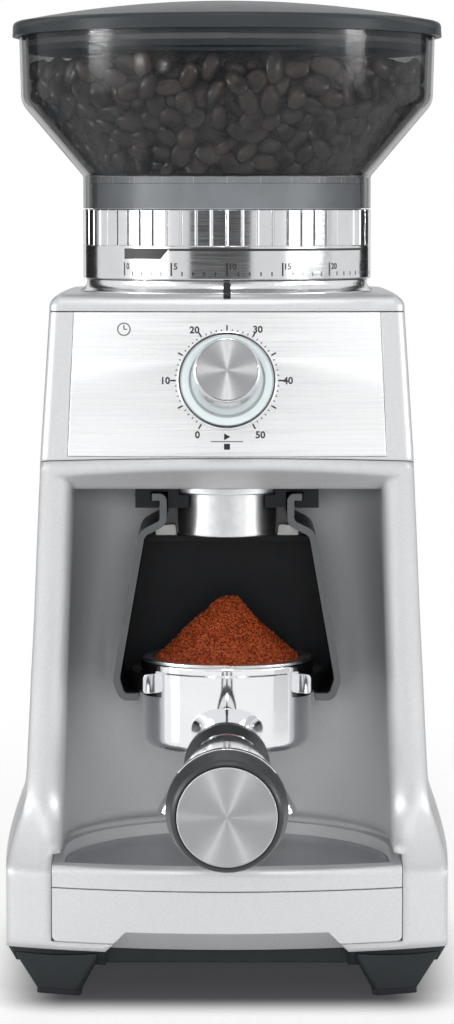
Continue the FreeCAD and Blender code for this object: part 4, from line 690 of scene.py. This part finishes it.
def ground_coffee(rings=90, around=220):
    """Rough heap with loose grains on it."""
    rng = np.random.RandomState(11)
    spin = np.linspace(0, 2 * math.pi, around, endpoint=False)
    rows = []
    for i in range(rings + 1):
        r = GROUNDS_R * i / rings
        z = grounds_height(r, spin) + rng.normal(0, GRIT, around)
        rows.append(np.column_stack([r * np.cos(spin), OUTLET_Y + r * np.sin(spin), z]))
    sheet = Sheet()
    sheet.grid(rows)
    sheet.grid([rows[-1], rows[-1] * (1, 1, 0) + (0, 0, GROUNDS_Z - GROUNDS_DEPTH)])
    for _ in range(GRAINS):
        r = GROUNDS_R * math.sqrt(rng.rand()) * GRAINS_REACH
        a = rng.uniform(0, 2 * math.pi)
        grain = rng.uniform(*GRAIN_SIZES) * (1 + (rng.rand() < LARGE_GRAINS) * LARGE_MORE)
        turn = np.linalg.qr(rng.normal(size=(3, 3)))[0]
        points = GRAIN_CORNERS * grain * rng.uniform(*GRAIN_STRETCH, (6, 1)) @ turn.T
        height = grounds_height(r, a) + grain * GRAIN_RISE
        sheet.add(points + (r * math.cos(a), OUTLET_Y + r * math.sin(a), height), GRAIN_FACES)
    look = Look("ground_coffee", tone(128, 52, 26), 0.85, Specular_IOR_Level=0.2)
    look.mottle(look.cells(0.5), 0.45, tone(186, 86, 45)).bump(look.noise(0.5, detail=5), 0.45)
    return piece("ground_coffee", sheet.points, sheet.faces, "portafilter",
                 look.material, False)


ground_coffee()


# Studio, in metres

FLOOR_R = 0.9
FLOOR_FADE = (0.38, 0.86)    # distances between which the floor fades into the background
FLOOR_GLOW = 0.55            # makes the floor as pale as the background to the eye and in reflections
SHADE_WIDTH = 0.7            # of the base plate's half width, from which the contact shade starts
SHADE_REACH = 0.036
SHADE_COLOR = (0.08, 0.08, 0.085, 1)
FLOOR_COLOR = (0.93, 0.93, 0.93, 1)
WORLD_LIGHT = 0.20


def lamp(name, place, aim, size, watts, mirrored=False):
    """Soft rectangular lamp, which may also show in reflections."""
    data = bpy.data.lights.new(name, "AREA")
    data.shape = "RECTANGLE"
    data.size, data.size_y = size
    data.energy = watts
    obj = bpy.data.objects.new(name, data)
    obj.location = place
    obj.rotation_euler = (Vector(aim) - Vector(place)).to_track_quat("-Z", "Y").to_euler()
    obj.visible_glossy = mirrored
    bpy.context.scene.collection.objects.link(obj)


def card(name, centre, half, facing, strength):
    """Card that shows only in reflections."""
    forward = Vector(facing).normalized()
    side = forward.cross(Vector((0, 0, 1))).normalized()
    up = side.cross(forward)
    corners = []
    for a, b in ((-1, -1), (1, -1), (1, 1), (-1, 1)):
        corners.append(tuple(Vector(centre) + side * half[0] * a + up * half[1] * b))
    mesh = bpy.data.meshes.new(name)
    mesh.from_pydata(corners, [], [(0, 1, 2, 3)])
    look = bpy.data.materials.new(name)
    look.use_nodes = True
    look.node_tree.nodes.clear()
    glow = look.node_tree.nodes.new("ShaderNodeEmission")
    glow.inputs["Strength"].default_value = strength
    out = look.node_tree.nodes.new("ShaderNodeOutputMaterial")
    look.node_tree.links.new(glow.outputs["Emission"], out.inputs["Surface"])
    mesh.materials.append(look)
    obj = bpy.data.objects.new(name, mesh)
    bpy.context.scene.collection.objects.link(obj)
    obj.visible_camera = False
    obj.visible_diffuse = False
    obj.visible_transmission = False
    obj.visible_shadow = False


def shade_by_base(tree, where, shader):
    """Floor colour that darkens softly under and close to the base."""
    def vector(kind, value=None):
        made = tree.nodes.new("ShaderNodeVectorMath")
        made.operation = kind
        if value:
            made.inputs[1].default_value = value
        return made

    low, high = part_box("base_plate")
    middle = [(a + b) / 2 for a, b in zip(low, high)]
    steps = [vector("SUBTRACT", (middle[0], middle[1], 0)), vector("ABSOLUTE"),
             vector("SUBTRACT", (SHADE_WIDTH * high[0], high[1] - middle[1], 0)),
             vector("MAXIMUM", (0.0001, 0.0001, 0)), vector("LENGTH")]
    tree.links.new(where.outputs["Object"], steps[0].inputs[0])
    for first, second in zip(steps, steps[1:]):
        tree.links.new(first.outputs["Vector"], second.inputs[0])
    ramp = tree.nodes.new("ShaderNodeValToRGB")
    near, far = ramp.color_ramp.elements
    near.color, far.color = SHADE_COLOR, FLOOR_COLOR
    ramp.color_ramp.interpolation = "EASE"
    reach = tree.nodes.new("ShaderNodeMapRange")
    reach.inputs["From Max"].default_value = SHADE_REACH
    tree.links.new(steps[-1].outputs["Value"], reach.inputs["Value"])
    tree.links.new(reach.outputs["Result"], ramp.inputs["Fac"])
    tree.links.new(ramp.outputs["Color"], shader.inputs["Base Color"])
    tree.links.new(ramp.outputs["Color"], shader.inputs["Emission Color"])
    path = tree.nodes.new("ShaderNodeLightPath")
    glow = tree.nodes.new("ShaderNodeMapRange")
    glow.inputs["To Min"].default_value = FLOOR_GLOW
    glow.inputs["To Max"].default_value = 0.0
    tree.links.new(path.outputs["Is Diffuse Ray"], glow.inputs["Value"])
    tree.links.new(glow.outputs["Result"], shader.inputs["Emission Strength"])


def floor(steps=96):
    """Pale disc that fades into the background."""
    mesh = bpy.data.meshes.new("floor")
    angles = [2 * math.pi * i / steps for i in range(steps)]
    ring = [(FLOOR_R * math.cos(a), FLOOR_R * math.sin(a), 0) for a in angles]
    mesh.from_pydata(ring, [], [list(range(steps))])
    look = bpy.data.materials.new("floor")
    look.use_nodes = True
    tree = look.node_tree
    shader = tree.nodes["Principled BSDF"]
    shader.inputs["Roughness"].default_value = 0.9
    shader.inputs["Specular IOR Level"].default_value = 0.0
    where = tree.nodes.new("ShaderNodeTexCoord")
    length = tree.nodes.new("ShaderNodeVectorMath")
    length.operation = "LENGTH"
    fade = tree.nodes.new("ShaderNodeMapRange")
    fade.interpolation_type = "SMOOTHSTEP"
    fade.inputs["From Min"].default_value, fade.inputs["From Max"].default_value = FLOOR_FADE
    fade.inputs["To Min"].default_value = 1.0
    fade.inputs["To Max"].default_value = 0.0
    tree.links.new(where.outputs["Object"], length.inputs[0])
    tree.links.new(length.outputs["Value"], fade.inputs["Value"])
    tree.links.new(fade.outputs["Result"], shader.inputs["Alpha"])
    shade_by_base(tree, where, shader)
    mesh.materials.append(look)
    obj = bpy.data.objects.new("floor", mesh)
    bpy.context.scene.collection.objects.link(obj)


def world():
    """White where it is seen directly, in reflections or through clear parts, and softer as light."""
    made = bpy.data.worlds.new("studio")
    bpy.context.scene.world = made
    made.use_nodes = True
    tree = made.node_tree
    back = tree.nodes["Background"]
    back.inputs["Color"].default_value = (1, 1, 1, 1)
    path = tree.nodes.new("ShaderNodeLightPath")
    seen = path.outputs["Is Camera Ray"]
    for output in ("Is Glossy Ray", "Is Transmission Ray"):
        either = tree.nodes.new("ShaderNodeMath")
        either.operation = "MAXIMUM"
        tree.links.new(seen, either.inputs[0])
        tree.links.new(path.outputs[output], either.inputs[1])
        seen = either.outputs["Value"]
    level = tree.nodes.new("ShaderNodeMapRange")
    level.inputs["To Min"].default_value = WORLD_LIGHT
    level.inputs["To Max"].default_value = 1.0
    tree.links.new(seen, level.inputs["Value"])
    tree.links.new(level.outputs["Result"], back.inputs["Strength"])


world()
floor()
lamp("overhead", (0.0, 0.12, 1.75), (0, 0.05, 0.25), (1.6, 1.2), 1.2)
lamp("key_left", (-1.9, -1.15, 0.7), (0, 0, 0.2), (0.8, 1.1), 7.0, mirrored=True)
lamp("fill_right", (1.9, -1.1, 0.65), (0, 0, 0.2), (0.8, 1.1), 6.0, mirrored=True)
lamp("front", (0.0, -2.2, 0.40), (0, 0, 0.16), (0.9, 0.5), 28.0)
lamp("behind", (0.0, 2.2, 1.2), (0, 0, 0.2), (1.4, 0.8), 14.0)
card("dark_front", (-0.28, -2.4, 0.29), (1.10, 0.17), (0, 1, 0), 0.05)
card("dark_column", (-0.015, -2.3, 1.15), (0.14, 1.0), (0, 1, 0), 0.05)
card("soft_top", (0.0, -0.75, 1.45), (0.14, 0.3), (0, 0.75, -1.35), 8.0)
card("soft_left", (-1.45, -0.39, 0.45), (0.16, 0.6), (1, 0.27, 0), 3.0)
card("soft_right", (1.47, -0.28, 0.45), (0.35, 0.6), (-1, 0.19, 0), 0.7)
card("bowl_left", (-1.38, -0.37, 0.45), (0.17, 0.08), (1, 0.27, 0), 45.0)
card("bowl_right", (1.38, -0.37, 0.45), (0.17, 0.08), (-1, 0.27, 0), 40.0)
card("dim_back_left", (-0.14, 0.70, 0.33), (0.06, 0.08), (0, -1, 0), 0.15)
card("dim_back_right", (0.14, 0.70, 0.33), (0.06, 0.08), (0, -1, 0), 0.3)
card("dark_left", (-0.50, 0.62, 0.3), (0.20, 0.6), (0.5, -0.62, 0), 0.02)
card("dark_right", (0.47, 0.66, 0.3), (0.16, 0.6), (-0.47, -0.66, 0), 0.02)

LENS = 125.16
CAMERA_PLACE = (0.0, -1.38725, 0.3055)
CAMERA_TILT = math.radians(85.13)

camera = bpy.data.cameras.new("camera")
camera.lens = LENS
view = bpy.data.objects.new("camera", camera)
view.location = CAMERA_PLACE
view.rotation_euler = (CAMERA_TILT, 0, 0)
bpy.context.scene.collection.objects.link(view)
bpy.context.scene.camera = view
bpy.context.scene.view_settings.view_transform = "Standard"
